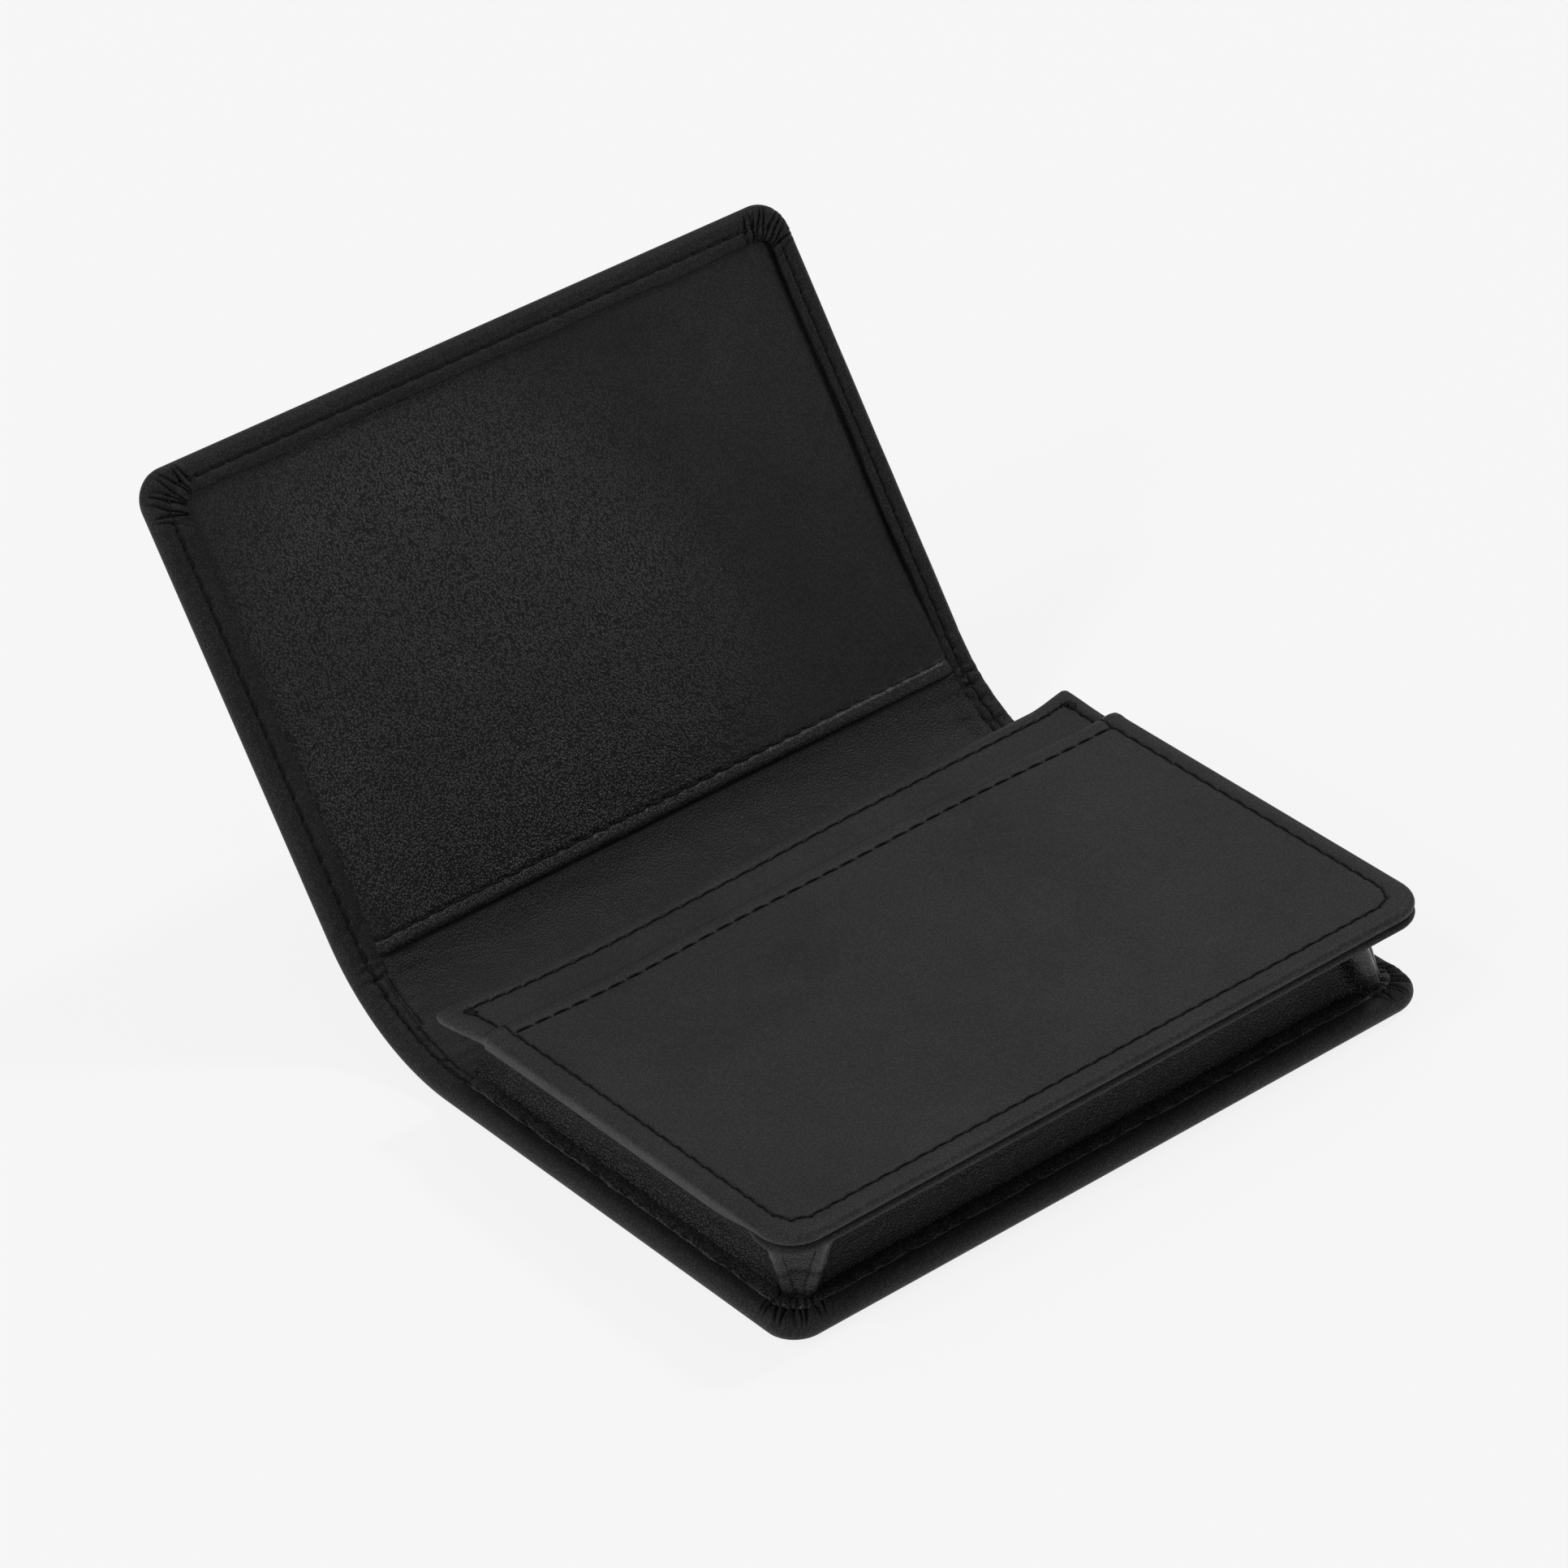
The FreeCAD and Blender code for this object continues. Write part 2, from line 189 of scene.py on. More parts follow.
def add_mesh(name, points, faces, material, sharp_angle=50):
    """A closed mesh from points in millimetres, with its normals facing out."""
    mesh = bpy.data.meshes.new(name)
    mesh.from_pydata((np.asarray(points) * MM).tolist(), [], faces)
    work = bmesh.new()
    work.from_mesh(mesh)
    bmesh.ops.recalc_face_normals(work, faces=work.faces)
    work.to_mesh(mesh)
    work.free()
    mesh.polygons.foreach_set("use_smooth", [True] * len(mesh.polygons))
    mesh.set_sharp_from_angle(angle=math.radians(sharp_angle))
    mesh.materials.append(material)
    return add_object(name, mesh)


def quads(rows, columns, first=0):
    """The faces of a grid whose points are stored row by row."""
    i, j = np.meshgrid(np.arange(rows - 1), np.arange(columns - 1), indexing="ij")
    a = (first + i * columns + j).ravel()
    return np.stack([a, a + 1, a + columns + 1, a + columns], 1).tolist()


def tube_faces(rings, sides, first=0):
    """The faces of a closed tube whose points are stored ring by ring."""
    faces = []
    for i in range(rings - 1):
        for k in range(sides):
            a = first + i * sides + k
            b = first + i * sides + (k + 1) % sides
            faces.append([a, b, b + sides, a + sides])
    last = first + (rings - 1) * sides
    return faces + [[first + k for k in range(sides)], [last + k for k in range(sides)]]


def grid_solid(name, upper, lower, material, sharp_angle=50):
    """A closed solid between two grids of points with the same rows and columns."""
    rows, columns = upper.shape[:2]
    count = rows * columns
    faces = quads(rows, columns) + quads(rows, columns, count)
    first_row = list(range(columns))
    last_column = [columns - 1 + columns * i for i in range(1, rows)]
    last_row = [count - 2 - j for j in range(columns - 1)]
    first_column = [columns * (rows - 2 - i) for i in range(rows - 2)]
    loop = first_row + last_column + last_row + first_column
    for a, b in zip(loop, loop[1:] + loop[:1]):
        faces.append([a, b, b + count, a + count])
    points = np.concatenate([upper.reshape(-1, 3), lower.reshape(-1, 3)])
    return add_mesh(name, points, faces, material, sharp_angle)


def paint_rows(piece, material, rows, columns, spans):
    """Give the faces of a grid solid that start in one of the spans of rows another material."""
    piece.data.materials.append(material)
    for face in piece.data.polygons:
        row = (min(face.vertices) % (len(rows) * len(columns))) // len(columns)
        if any(first <= row < last for first, last in spans):
            face.material_index = 1


def on_leather(x, s, h):
    """A point of the flat layout on the half open wallet."""
    angle = np.clip((s - BEND_START) / BEND_RADIUS, 0, TILT)
    before = np.minimum(s - BEND_START, 0)
    past = np.maximum(s - BEND_END, 0)
    reach = BEND_RADIUS - h
    y = FRONT + BEND_START + before + reach * np.sin(angle) + past * math.cos(TILT)
    z = BEND_RADIUS - reach * np.cos(angle) + past * math.sin(TILT)
    return np.stack(np.broadcast_arrays(x, y, z), -1)


def leather_point(s, h, x=0.0):
    """The same in metres, by default in the middle of the width."""
    return tuple(float(v) * MM for v in on_leather(x, s, h))


# Where the bending layers begin and end their bend
BASE_BEND = (leather_point(66.0, LEATHER), leather_point(SPLIT - 0.5, LEATHER))
COVER_BEND = (leather_point(SPLIT + 0.5, LEATHER), leather_point(99.0, LEATHER))


# ---- plates with three closed sides
def run_steps(run, open_rows=(), dense_start=False):
    """Steps along a straight run as (distance, stitch count, kept), denser beside a corner."""
    stitches = max(3, round(run / STITCH_PITCH))
    dense = np.arange(0, 1.5, 0.33 / SAMPLES_PER_STITCH)
    counts = set(np.round(np.arange(0, stitches + 0.01, 1 / SAMPLES_PER_STITCH), 6))
    counts |= set(np.round(stitches - dense, 6))
    if dense_start:
        counts |= set(np.round(dense, 6))
    rows = {round(row * stitches / run, 6) for row in open_rows}
    steps = []
    for count in sorted(counts | rows):
        kept = abs(count - round(count)) < 1e-6 or count in rows
        steps.append((count / stitches * run, count, kept))
    return steps


class Rim:
    """Samples round three sides of a plate: its left side from the open end, its end, its right side.

    The plate's plan has x across and q from its closed end.  Each sample goes from a point on the
    edge to a target on the rim's inner line.  count is the number of stitches so far, side runs
    from 0 on the left over 1 on the end to 2 on the right, turn is the distance along the edge
    from the nearer corner's middle, and kept samples carry the coarser middle of the plate."""

    def __init__(self, half, length, radius, open_rows=()):
        self.half, self.length, self.radius = half, length, radius
        self.rows = []
        arc = radius * math.pi / 4
        inner = half - RIM_DEPTH
        side_steps = run_steps(length - radius, open_rows)
        end_steps = run_steps(2 * (half - radius), dense_start=True)
        end_run = end_steps[-1][0]
        total = 0.0
        for distance, count, kept in side_steps:
            q = length - distance
            self.add(-half, q, -inner, self.sheared(q), count, 0.0, radius - q - arc, kept)
        total = side_steps[-1][1]
        self.add_corner(-1, total, inner, arc)
        total += CORNER_STITCHES
        for distance, count, kept in end_steps[1:]:
            x = distance - end_run / 2
            target = math.copysign(half - self.sheared(half - abs(x)), x)
            turn = arc + distance if x < 0 else -(arc + end_run - distance)
            self.add(x, 0.0, target, RIM_DEPTH, total + count, 1.0, turn, kept)
        total += end_steps[-1][1]
        self.add_corner(1, total, inner, arc)
        total += CORNER_STITCHES
        for distance, count, kept in side_steps[::-1][1:]:
            q = length - distance
            back = total + side_steps[-1][1] - count
            self.add(half, q, inner, self.sheared(q), back, 2.0, q - radius + arc, kept)
        table = np.array(self.rows, float)
        self.edge, self.target = table[:, 0:2], table[:, 2:4]
        self.count, self.side, self.turn = table[:, 4], table[:, 5], table[:, 6]
        self.kept = [int(i) for i in np.flatnonzero(table[:, 7])]

    def add(self, *row):
        self.rows.append(row)

    def add_corner(self, sign, total, inner, arc):
        for number in range(1, CORNER_SAMPLES + 1):
            share = number / CORNER_SAMPLES
            angle = share * math.pi / 2
            along = angle if sign < 0 else math.pi / 2 - angle
            x = sign * (self.half - self.radius + self.radius * math.cos(along))
            q = self.radius - self.radius * math.sin(along)
            side = share if sign < 0 else 1 + share
            self.add(x, q, sign * inner, RIM_DEPTH, total + share * CORNER_STITCHES, side,
                     (share * 2 - 1) * arc, number == CORNER_SAMPLES)

    def sheared(self, along):
        """Distance from the next side, spread so that it starts at the rim's inner line."""
        if along >= SHEAR_END:
            return along
        share = (along - self.radius) / (SHEAR_END - self.radius)
        return RIM_DEPTH + share * (SHEAR_END - RIM_DEPTH)

    def at(self, depth):
        """The plan's points at a depth, or at one depth for each sample and profile point."""
        share = np.asarray(depth, float) / RIM_DEPTH
        if share.ndim == 2:
            return self.edge[:, None] + (self.target - self.edge)[:, None] * share[..., None]
        return self.edge + (self.target - self.edge) * share

    def holes(self, depth):
        """Where the seam at a depth pierces the plate, as plan points."""
        line = self.at(depth)
        number = np.arange(0, round(self.count[-1]) + 1)
        return np.stack([np.interp(number, self.count, line[:, k]) for k in (0, 1)], 1)


def rolled_plate(name, rim, profile, place, material, relief, widths=None):
    """A closed sheet with its three rolled or turned edges.

    profile holds (depth, height, share of relief, scaled) from the lower face's middle, round the
    edge, to the upper face's middle.  Scaled points move with the hem's own width."""
    depth, height, share, scaled = np.array(profile, float).T
    along = np.gradient(np.stack([depth, height], 1), axis=0)
    along /= np.linalg.norm(along, axis=1)[:, None]
    depths = np.tile(depth, (len(rim.count), 1))
    if widths is not None:
        stretch = (widths - HEM_STITCH) / (HEM_WIDTH - HEM_STITCH)
        moved = HEM_STITCH + (depth - HEM_STITCH) * stretch[:, None]
        depths = np.where(scaled > 0, moved, depths)
    lift = relief(rim, depths) * share
    plan = rim.at(depths - along[:, 1] * lift)
    heights = height + along[:, 0] * lift
    points = [place(plan[..., 0], plan[..., 1], heights).reshape(-1, 3)]
    samples, ring = len(rim.count), len(profile)
    faces = quads(samples, ring)
    total = samples * ring
    middle_rows = []
    for end in (0, ring - 1):
        total, kept = add_middle(rim, height[end], end, ring, place, points, faces, total)
        middle_rows.append(kept)
    lower, upper = middle_rows
    faces.append(list(range(ring)) + [upper[-1], lower[-1]])
    last = (samples - 1) * ring
    faces.append([last + k for k in range(ring)] + [upper[0], lower[0]])
    for k in range(len(lower) - 1):
        faces.append([lower[k], lower[k + 1], upper[k + 1], upper[k]])
    return add_mesh(name, np.concatenate(points), faces, material)


def add_middle(rim, height, end, ring, place, points, faces, total):
    """The plate's middle on one face, as a coarse grid inside the rim's kept samples.

    Returns the new number of points and the grid's row at the open end, from right to left."""
    qs = sorted({round(float(rim.target[i, 1]), 5) for i in rim.kept})
    xs = sorted({round(float(rim.target[i, 0]), 5) for i in rim.kept})
    grid_x, grid_q = np.meshgrid(xs, qs)
    points.append(place(grid_x, grid_q, np.full(grid_x.shape, height)).reshape(-1, 3))
    faces += quads(len(qs), len(xs), total)

    def corner_of(i):
        column = xs.index(round(float(rim.target[i, 0]), 5))
        return total + qs.index(round(float(rim.target[i, 1]), 5)) * len(xs) + column

    for i, j in zip(rim.kept[:-1], rim.kept[1:]):
        inner = [corner_of(i)] if corner_of(i) == corner_of(j) else [corner_of(i), corner_of(j)]
        faces.append(inner + [k * ring + end for k in range(j, i - 1, -1)])
    open_row = [total + (len(qs) - 1) * len(xs) + k for k in range(len(xs))]
    return total + len(xs) * len(qs), open_row[::-1]


# ---- stitches
def thread_piece(name, stitches, place, radius=THREAD_RADIUS):
    """Short twisted threads.  Each stitch is (start, end, height) in a plate's plan, ends sunk."""
    rings, sides = 13, 8
    t = np.linspace(0, 1, rings)
    rise = 0.3 * (1 - np.abs(2 * t - 1) ** 2.5) - 0.2
    thick = radius * np.minimum(1, np.sqrt(np.maximum(0.02, 1 - np.abs(2 * t - 1) ** 8)))
    angle = np.arange(sides) * 2 * np.pi / sides
    points, faces = [], []
    for number, (start, end, height) in enumerate(stitches):
        start, end = np.array(start, float), np.array(end, float)
        run = end - start
        side = np.array([-run[1], run[0]]) / np.linalg.norm(run)
        start = start + side * STITCH_SLANT
        end = end - side * STITCH_SLANT
        line = start + (end - start) * t[:, None]
        twist = 1 + 0.13 * np.cos(2 * angle[None, :] - t[:, None] * 9.0)
        across = thick[:, None] * twist * np.cos(angle)
        up = thick[:, None] * twist * np.sin(angle)
        x = line[:, None, 0] + side[0] * across
        q = line[:, None, 1] + side[1] * across
        h = height + rise[:, None] + up
        points.append(place(x, q, h).reshape(-1, 3))
        faces += tube_faces(rings, sides, number * rings * sides)
    return add_mesh(name, np.concatenate(points), faces, THREAD)


def seam_thread(name, holes, height, place, radius=THREAD_RADIUS):
    """The thread of a seam, a stitch between each two neighbouring holes."""
    stitches = [(a, b, height) for a, b in zip(holes[:-1], holes[1:])]
    return thread_piece(name, stitches, place, radius)


def straight_holes(x0, x1, q):
    count = round(abs(x1 - x0) / STITCH_PITCH)
    return [(x, q) for x in np.linspace(x0, x1, count + 1)]


# ---- materials
def set_inputs(tree, made, values):
    """Set a node's inputs and settings.  A value that is a node or one of its outputs is linked."""
    for key, value in values.items():
        if isinstance(value, bpy.types.Node):
            value = value.outputs[0]
        if isinstance(value, bpy.types.NodeSocket):
            tree.links.new(value, made.inputs[key])
        elif key in made.inputs:
            made.inputs[key].default_value = value
        else:
            setattr(made, key, value)


def node(tree, kind, **values):
    """A new shader node with its inputs and settings."""
    made = tree.nodes.new("ShaderNode" + kind)
    set_inputs(tree, made, values)
    return made


def new_material(name):
    material = bpy.data.materials.new(name)
    material.use_nodes = True
    return material, material.node_tree, material.node_tree.nodes["Principled BSDF"]


def mapped(tree, source, low, high, to_low, to_high, kind="LINEAR"):
    """A texture value carried from one range to another."""
    return node(tree, "MapRange", interpolation_type=kind, Value=source,
                **{"From Min": low, "From Max": high, "To Min": to_low, "To Max": to_high})


def ramp(tree, source, low, high, dark, light):
    """Two colours, blended while a texture value goes from low to high."""
    made = node(tree, "ValToRGB", Fac=source)
    for element, place, colour in zip(made.color_ramp.elements, (low, high), (dark, light)):
        element.position, element.color = place, (*colour, 1)
    return made


def leather(name, dark, light, roughness, depth, crease, valley, specular, cell=0.0003, tilt=0.0,
            thin=1.0, grainy=None):
    """Leather with pebbles of one depth and cell size, and creases of a longer size.

    Pebble tops carry a painted highlight; valley is how dark their feet's painted shade stays beside
    their middle.
    thin stretches the pebbles through a sheet that is tilted about X, so that their tops show.
    grainy is the middle of the grainiest part, outside which pebbles are polished flat and painted
    highlights fade."""
    material, tree, shader = new_material(name)
    place = node(tree, "TexCoord").outputs["Object"]
    turned = node(tree, "Mapping", Rotation=(-tilt, 0, 0), Vector=place)
    sheet = node(tree, "Mapping", Scale=(1, 1, thin), Vector=turned)
    pebble = node(tree, "TexVoronoi", Scale=1 / cell, Randomness=0.85, Vector=sheet)
    fine = node(tree, "TexNoise", Scale=3.5 / cell, Detail=3.0, Roughness=0.6, Vector=place)
    broad = node(tree, "TexNoise", Scale=1 / crease, Detail=3.0, Roughness=0.5,
                 Distortion=0.6, Vector=place)
    patch = node(tree, "TexNoise", Scale=0.35 / crease, Detail=6.0, Roughness=0.65,
                 Vector=place)
    rounded = mapped(tree, pebble, 0.85, 0.1, 0.0, 1.0, "SMOOTHSTEP")
    pebble_bump = node(tree, "Bump", Strength=1.0, Distance=depth, Height=rounded)
    fine_bump = node(tree, "Bump", Strength=1.0, Distance=0.25 * depth, Height=fine,
                     Normal=pebble_bump)
    broad_bump = node(tree, "Bump", Strength=1.0, Distance=0.02 * crease, Height=broad,
                      Normal=fine_bump)
    # painted highlight on the pebbles' tops and painted shade at their feet, carried in the base colour
    pebble_highlight_and_shade = mapped(tree, pebble, 0.5, 0.12, valley, 3.4 - 2.4 * valley)
    if grainy is not None:
        away = node(tree, "VectorMath", operation="DISTANCE", Vector=place)
        away.inputs[1].default_value = grainy
        kept = mapped(tree, away.outputs["Value"], 0.05, 0.025, 0.35, 1.0, "SMOOTHSTEP")
        set_inputs(tree, pebble_bump, {"Strength": kept})
        pebble_highlight_and_shade = node(tree, "Mix", data_type="FLOAT", Factor=kept, A=0.85, B=pebble_highlight_and_shade)
    hue = ramp(tree, patch, 0.3, 0.72, dark, light)
    shade = node(tree, "VectorMath", operation="SCALE", Vector=hue, Scale=pebble_highlight_and_shade)
    gloss = mapped(tree, broad, 0.25, 0.75, roughness - 0.05, roughness + 0.06)
    set_inputs(tree, shader, {"Base Color": shade, "Roughness": gloss, "Normal": broad_bump,
                              "Specular IOR Level": specular})
    return material


def smooth_leather():
    return leather("smooth_black_leather", (0.033, 0.033, 0.0343), (0.0445, 0.0445, 0.0458),
                   roughness=0.48, depth=0.00003, crease=0.006, valley=0.78, specular=0.12, thin=0.5)


def turned_leather():
    return leather("turned_black_leather", (0.023, 0.023, 0.0238), (0.032, 0.032, 0.0328),
                   roughness=0.5, depth=0.00004, crease=0.006, valley=0.7, specular=0.1)


def grained_leather():
    return leather("grained_black_leather", (0.015, 0.015, 0.0154), (0.03, 0.03, 0.0304),
                   roughness=0.3, depth=0.00009, crease=0.009, valley=0.15, specular=0.34,
                   tilt=TILT, thin=0.05, grainy=leather_point(118.0, LINING_TOP, -18.0))


def lining_leather():
    return leather("lining_black_leather", (0.0145, 0.0145, 0.0148), (0.021, 0.021, 0.0213),
                   roughness=0.45, depth=0.00005, crease=0.004, valley=0.65, specular=0.2)


def gusset_leather():
    return leather("gusset_black_leather", (0.02, 0.02, 0.0203), (0.029, 0.029, 0.0293),
                   roughness=0.33, depth=0.0001, crease=0.005, valley=0.25, specular=0.27, cell=0.00032)


def pleat_leather_with_painted_shade():
    # smoother than the gusset's leather, and darker as painted shade in the corner pleats under the wall
    return leather("pleat_black_leather_painted_shade", (0.013, 0.013, 0.0133), (0.02, 0.02, 0.0203),
                   roughness=0.34, depth=0.00005, crease=0.005, valley=0.4, specular=0.5)


def folded_leather():
    return leather("folded_black_leather", (0.018, 0.018, 0.0183), (0.027, 0.027, 0.0273),
                   roughness=0.42, depth=0.00005, crease=0.006, valley=0.5, specular=0.33)


def edge_paint_and_shade():
    # black edge paint, dark enough to serve also as painted shade along the slip pocket's mouth
    return leather("black_edge_paint_and_shade", (0.004, 0.004, 0.0041), (0.007, 0.007, 0.0071),
                   roughness=0.3, depth=0.00002, crease=0.006, valley=0.8, specular=0.4)


def flange_leather_with_painted_light():
    # smoother and paler than the gusset's leather it is turned from; the paleness is painted light on
    # the raised bead
    return leather("flange_black_leather_painted_light", (0.026, 0.026, 0.0263), (0.038, 0.038, 0.0383),
                   roughness=0.36, depth=0.00006, crease=0.004, valley=0.45, specular=0.45)


def fibrous(name, dark, light, fibres, strength, height, roughness, specular):
    """A material of fine fibres: their texture's settings, and the strength and height of its bump."""
    material, tree, shader = new_material(name)
    place = node(tree, "TexCoord").outputs["Object"]
    noise = node(tree, "TexNoise", Vector=place, **fibres)
    raised = node(tree, "Bump", Strength=strength, Distance=height, Height=noise)
    hue = ramp(tree, noise, 0.0, 1.0, dark, light)
    set_inputs(tree, shader, {"Base Color": hue, "Roughness": roughness, "Normal": raised,
                              "Specular IOR Level": specular})
    return material


def thread_material():
    """Waxed black thread: fine plies round the twist and a dull sheen."""
    return fibrous("black_waxed_thread", (0.002, 0.002, 0.002), (0.008, 0.008, 0.0085),
                   {"Scale": 5000.0, "Detail": 4.0, "Roughness": 0.7}, strength=1.0, height=0.00003,
                   roughness=0.6, specular=0.2)


def fibre_board():
    """Grey pressed fibre for the boards between the leathers."""
    return fibrous("pressed_fibre_board", (0.16, 0.14, 0.12), (0.34, 0.31, 0.27),
                   {"Scale": 900.0, "Detail": 8.0, "Roughness": 0.75}, strength=0.6, height=0.00005,
                   roughness=0.85, specular=0.5)


SMOOTH = smooth_leather()
TURNED = turned_leather()
GRAINED = grained_leather()
LINING = lining_leather()
GUSSET = gusset_leather()
PLEAT_SHADED = pleat_leather_with_painted_shade()
FLANGE_LIT = flange_leather_with_painted_light()
FOLDED = folded_leather()
EDGE_PAINT_AND_SHADE = edge_paint_and_shade()
THREAD = thread_material()
BOARD = fibre_board()


# ---- outer leather and its hems
def hem_profile():
    """Lower face, rolled edge, hem, raw edge, the hem's underside and the leather's inner face."""
    points = [(depth, 0.0, 0, 0) for depth in (7.2, 5.0, 3.2, 2.1)]
    middle = HEM_TOP / 2
    for angle in np.linspace(-math.pi / 2, math.pi / 2, 17):
        share = float(smoothstep(-0.3, 0.6, math.sin(angle)))
        points.append((HEM_ROLL * (1 - math.cos(angle)), middle + middle * math.sin(angle), share, 0))
    for depth in (1.8, 2.0, 2.2, 2.35, 2.47, 2.58, 2.7, 2.82, 2.93):
        points.append((depth, HEM_TOP, 1, 0))
    for depth in (3.05, 3.2, 3.35, 3.5, 3.65, 3.8, 3.95, 4.1, 4.25, 4.4, 4.55, 4.68):
        drop = 0.22 * float(smoothstep(3.6, 4.8, depth))
        points.append((depth, HEM_TOP - drop, 1, 1))
    points += [(4.78, HEM_TOP - 0.3, 0.8, 1), (4.82, HEM_TOP - 0.5, 0.5, 1), (4.82, 2.5, 0, 1)]
    points += [(4.76, 2.35, 0, 1), (4.2, 2.34, 0, 1), (3.4, 2.34, 0, 1)]
    points += [(2.4, 2.34, 0, 0), (1.7, 2.32, 0, 0)]
    for angle in np.linspace(math.pi * 0.6, math.pi * 1.4, 5):
        points.append((1.75 + 0.66 * math.cos(angle), 1.66 + 0.66 * math.sin(angle), 0, 0))
    points += [(depth, LEATHER, 0, 0) for depth in (1.9, 3.2, 5.0, 7.2)]
    return points


def seam_and_waves(rim, depths, seed):
    """The hem's stitch groove and holes, and the slight waves on either side of it."""
    count = rim.count[:, None]
    near_stitch = np.abs(count - np.round(count)) * STITCH_PITCH
    lift = -0.13 * bump(depths, HEM_STITCH, 0.5)
    lift = lift - 0.34 * bump(depths, HEM_STITCH, 0.26) * bump(near_stitch, 0, 0.34)
    lift = lift + 0.1 * bump(depths, 3.75, 0.6) * (1.2 + waves(count, seed + 3, 2.3))
    return lift + 0.05 * bump(depths, 1.4, 0.9) * waves(count, seed + 4, 3.1)


def corner_pleats(rim, depths, fade, corner, random):
    """Small uneven pleats that gather the hem round one corner, 0 on the left or 1 on the right."""
    turn, side = rim.turn[:, None], rim.side[:, None]
    at_corner = (side < 1.001) if corner == 0 else (side > 0.999)
    at_corner = at_corner * smoothstep(6.5, 4.0, np.abs(turn))
    edges = np.arange(-6.6, 6.7, PLEAT_WIDTH)
    valleys = edges + random.uniform(-0.3, 0.3, len(edges))
    drift = 0.28 * np.sin(turn * 1.9 + corner) * (depths - 2.5)
    part = np.interp(turn + drift, valleys, np.arange(float(len(edges))))
    pillow = 1 - np.abs(2 * (part - np.floor(part)) - 1) ** 1.8
    size = random.uniform(0.6, 1.0, len(edges) + 1)[np.floor(part).astype(int)]
    return at_corner * fade * PLEAT_DEPTH * size * (pillow - 0.62)


def side_creases(rim, depths, seed, creased_side):
    """Two long creases that wander along one side of the hem."""
    count, turn, side = rim.count[:, None], rim.turn[:, None], rim.side[:, None]
    on_side = smoothstep(0.5, 0.0, np.abs(side - creased_side)) * smoothstep(4, 8, np.abs(turn))
    strength = 0.7 + 0.3 * waves(count, seed + 12, 5.0)
    lift = 0
    for middle, deep in ((3.42, 0.14), (4.05, 0.1)):
        wander = middle + 0.1 * waves(count, seed + 11, 6.0)
        lift = lift - on_side * deep * bump(depths, wander, 0.12) * strength
    return lift


def bend_creases(rim, depths, fade, seed, spine_start, fold_lines):
    """Where the hem bends with the spine: it lies down into the lining and is creased across."""
    q, side = rim.edge[:, 1][:, None], rim.side[:, None]
    on_sides = np.abs(side - 1) > 0.5
    on_right = side > 1.5
    lift = -0.5 * smoothstep(spine_start, spine_start + 6, q) * smoothstep(3.0, 4.6, depths)
    bent = smoothstep(spine_start - 2, spine_start + 4, q) * on_sides
    creases = bump(waves(q + 0.25 * depths, seed + 15, 3.6), 0, 0.17)
    creases = creases + bump(waves(q, seed + 16, 6.0), 0.2, 0.12)
    lift = lift - 0.13 * bent * fade * creases * (1 + 0.9 * on_right)
    for line, deep in fold_lines:
        wander = line + 0.25 * np.sin(depths * 2.1 + line)
        lift = lift - deep * bump(q, wander, 0.4) * fade * on_sides * (1 + 0.8 * on_right)
    return lift


def hem_relief(seed, spine_start, creased_side=None, fold_lines=()):
    """How far a hem's surface stands off its profile.

    From spine_start on, measured from the closed end, it bends with the spine."""
    random = np.random.default_rng(seed)

    def relief(rim, depths):
        fade = smoothstep(-0.1, 1.2, depths)
        lift = seam_and_waves(rim, depths, seed)
        for corner in (0, 1):
            lift = lift + corner_pleats(rim, depths, fade, corner, random)
        if creased_side is not None:
            lift = lift + side_creases(rim, depths, seed, creased_side)
        return lift + bend_creases(rim, depths, fade, seed, spine_start, fold_lines)

    return relief


def hem_widths(rim, left, end, right, seed):
    """The hem's width at each sample, with a slightly wavy raw edge."""
    width = np.interp(rim.side, [0, 1, 2], [left, end, right])
    return width + 0.16 * waves(rim.count, seed, 7.0) + 0.05 * waves(rim.count, seed + 1, 1.4)


def from_cover_edge(x, q, h):
    """A point of the flat layout, with q running from the cover's top edge to the spine."""
    return on_leather(x, FLAT_LENGTH - q, h)


def outer_leather():
    """The one outer leather, in two pieces that meet unseen in the middle of the spine.

    Fold lines are (distance from the closed end, depth).  Hem widths are left, end and right."""
    lower_rim = Rim(HALF, SPLIT, CORNER_RADIUS)
    upper_rim = Rim(HALF, FLAT_LENGTH - SPLIT, CORNER_RADIUS)
    lower_folds = ((66.5, 0.12), (70.6, 0.22), (73.0, 0.15), (77.5, 0.12))
    upper_folds = ((63.2, 0.12), (68.2, 0.2), (69.6, 0.26), (71.3, 0.18), (75.0, 0.1))
    lower = rolled_plate("outer_leather_lower", lower_rim, hem_profile(), on_leather, TURNED,
                         hem_relief(seed=21, spine_start=58.0, fold_lines=lower_folds),
                         hem_widths(lower_rim, 4.5, 4.8, 4.5, seed=31))
    upper = rolled_plate("outer_leather_upper", upper_rim, hem_profile(), from_cover_edge, TURNED,
                         hem_relief(seed=47, spine_start=67.0, creased_side=0, fold_lines=upper_folds),
                         hem_widths(upper_rim, 5.2, 4.6, 3.9, seed=33))
    level = HEM_TOP - THREAD_SUNK
    lower_thread = seam_thread("hem_thread_lower", lower_rim.holes(HEM_STITCH), level, on_leather,
                               HEM_THREAD_RADIUS)
    upper_thread = seam_thread("hem_thread_upper", upper_rim.holes(HEM_STITCH), level, from_cover_edge,
                               HEM_THREAD_RADIUS)
    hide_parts("base_outer_leather", "spine_outer_leather")
    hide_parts("cover_outer_leather")
    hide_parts("base_hem_thread", "spine_hem_thread")
    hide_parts("cover_hem_thread")
    for piece in (lower, lower_thread):
        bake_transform(piece)
    for piece in (upper, upper_thread):
        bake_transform(piece)


# ---- linings
def spaced(start, end, step):
    return np.linspace(start, end, max(2, round(abs(end - start) / step)) + 1)


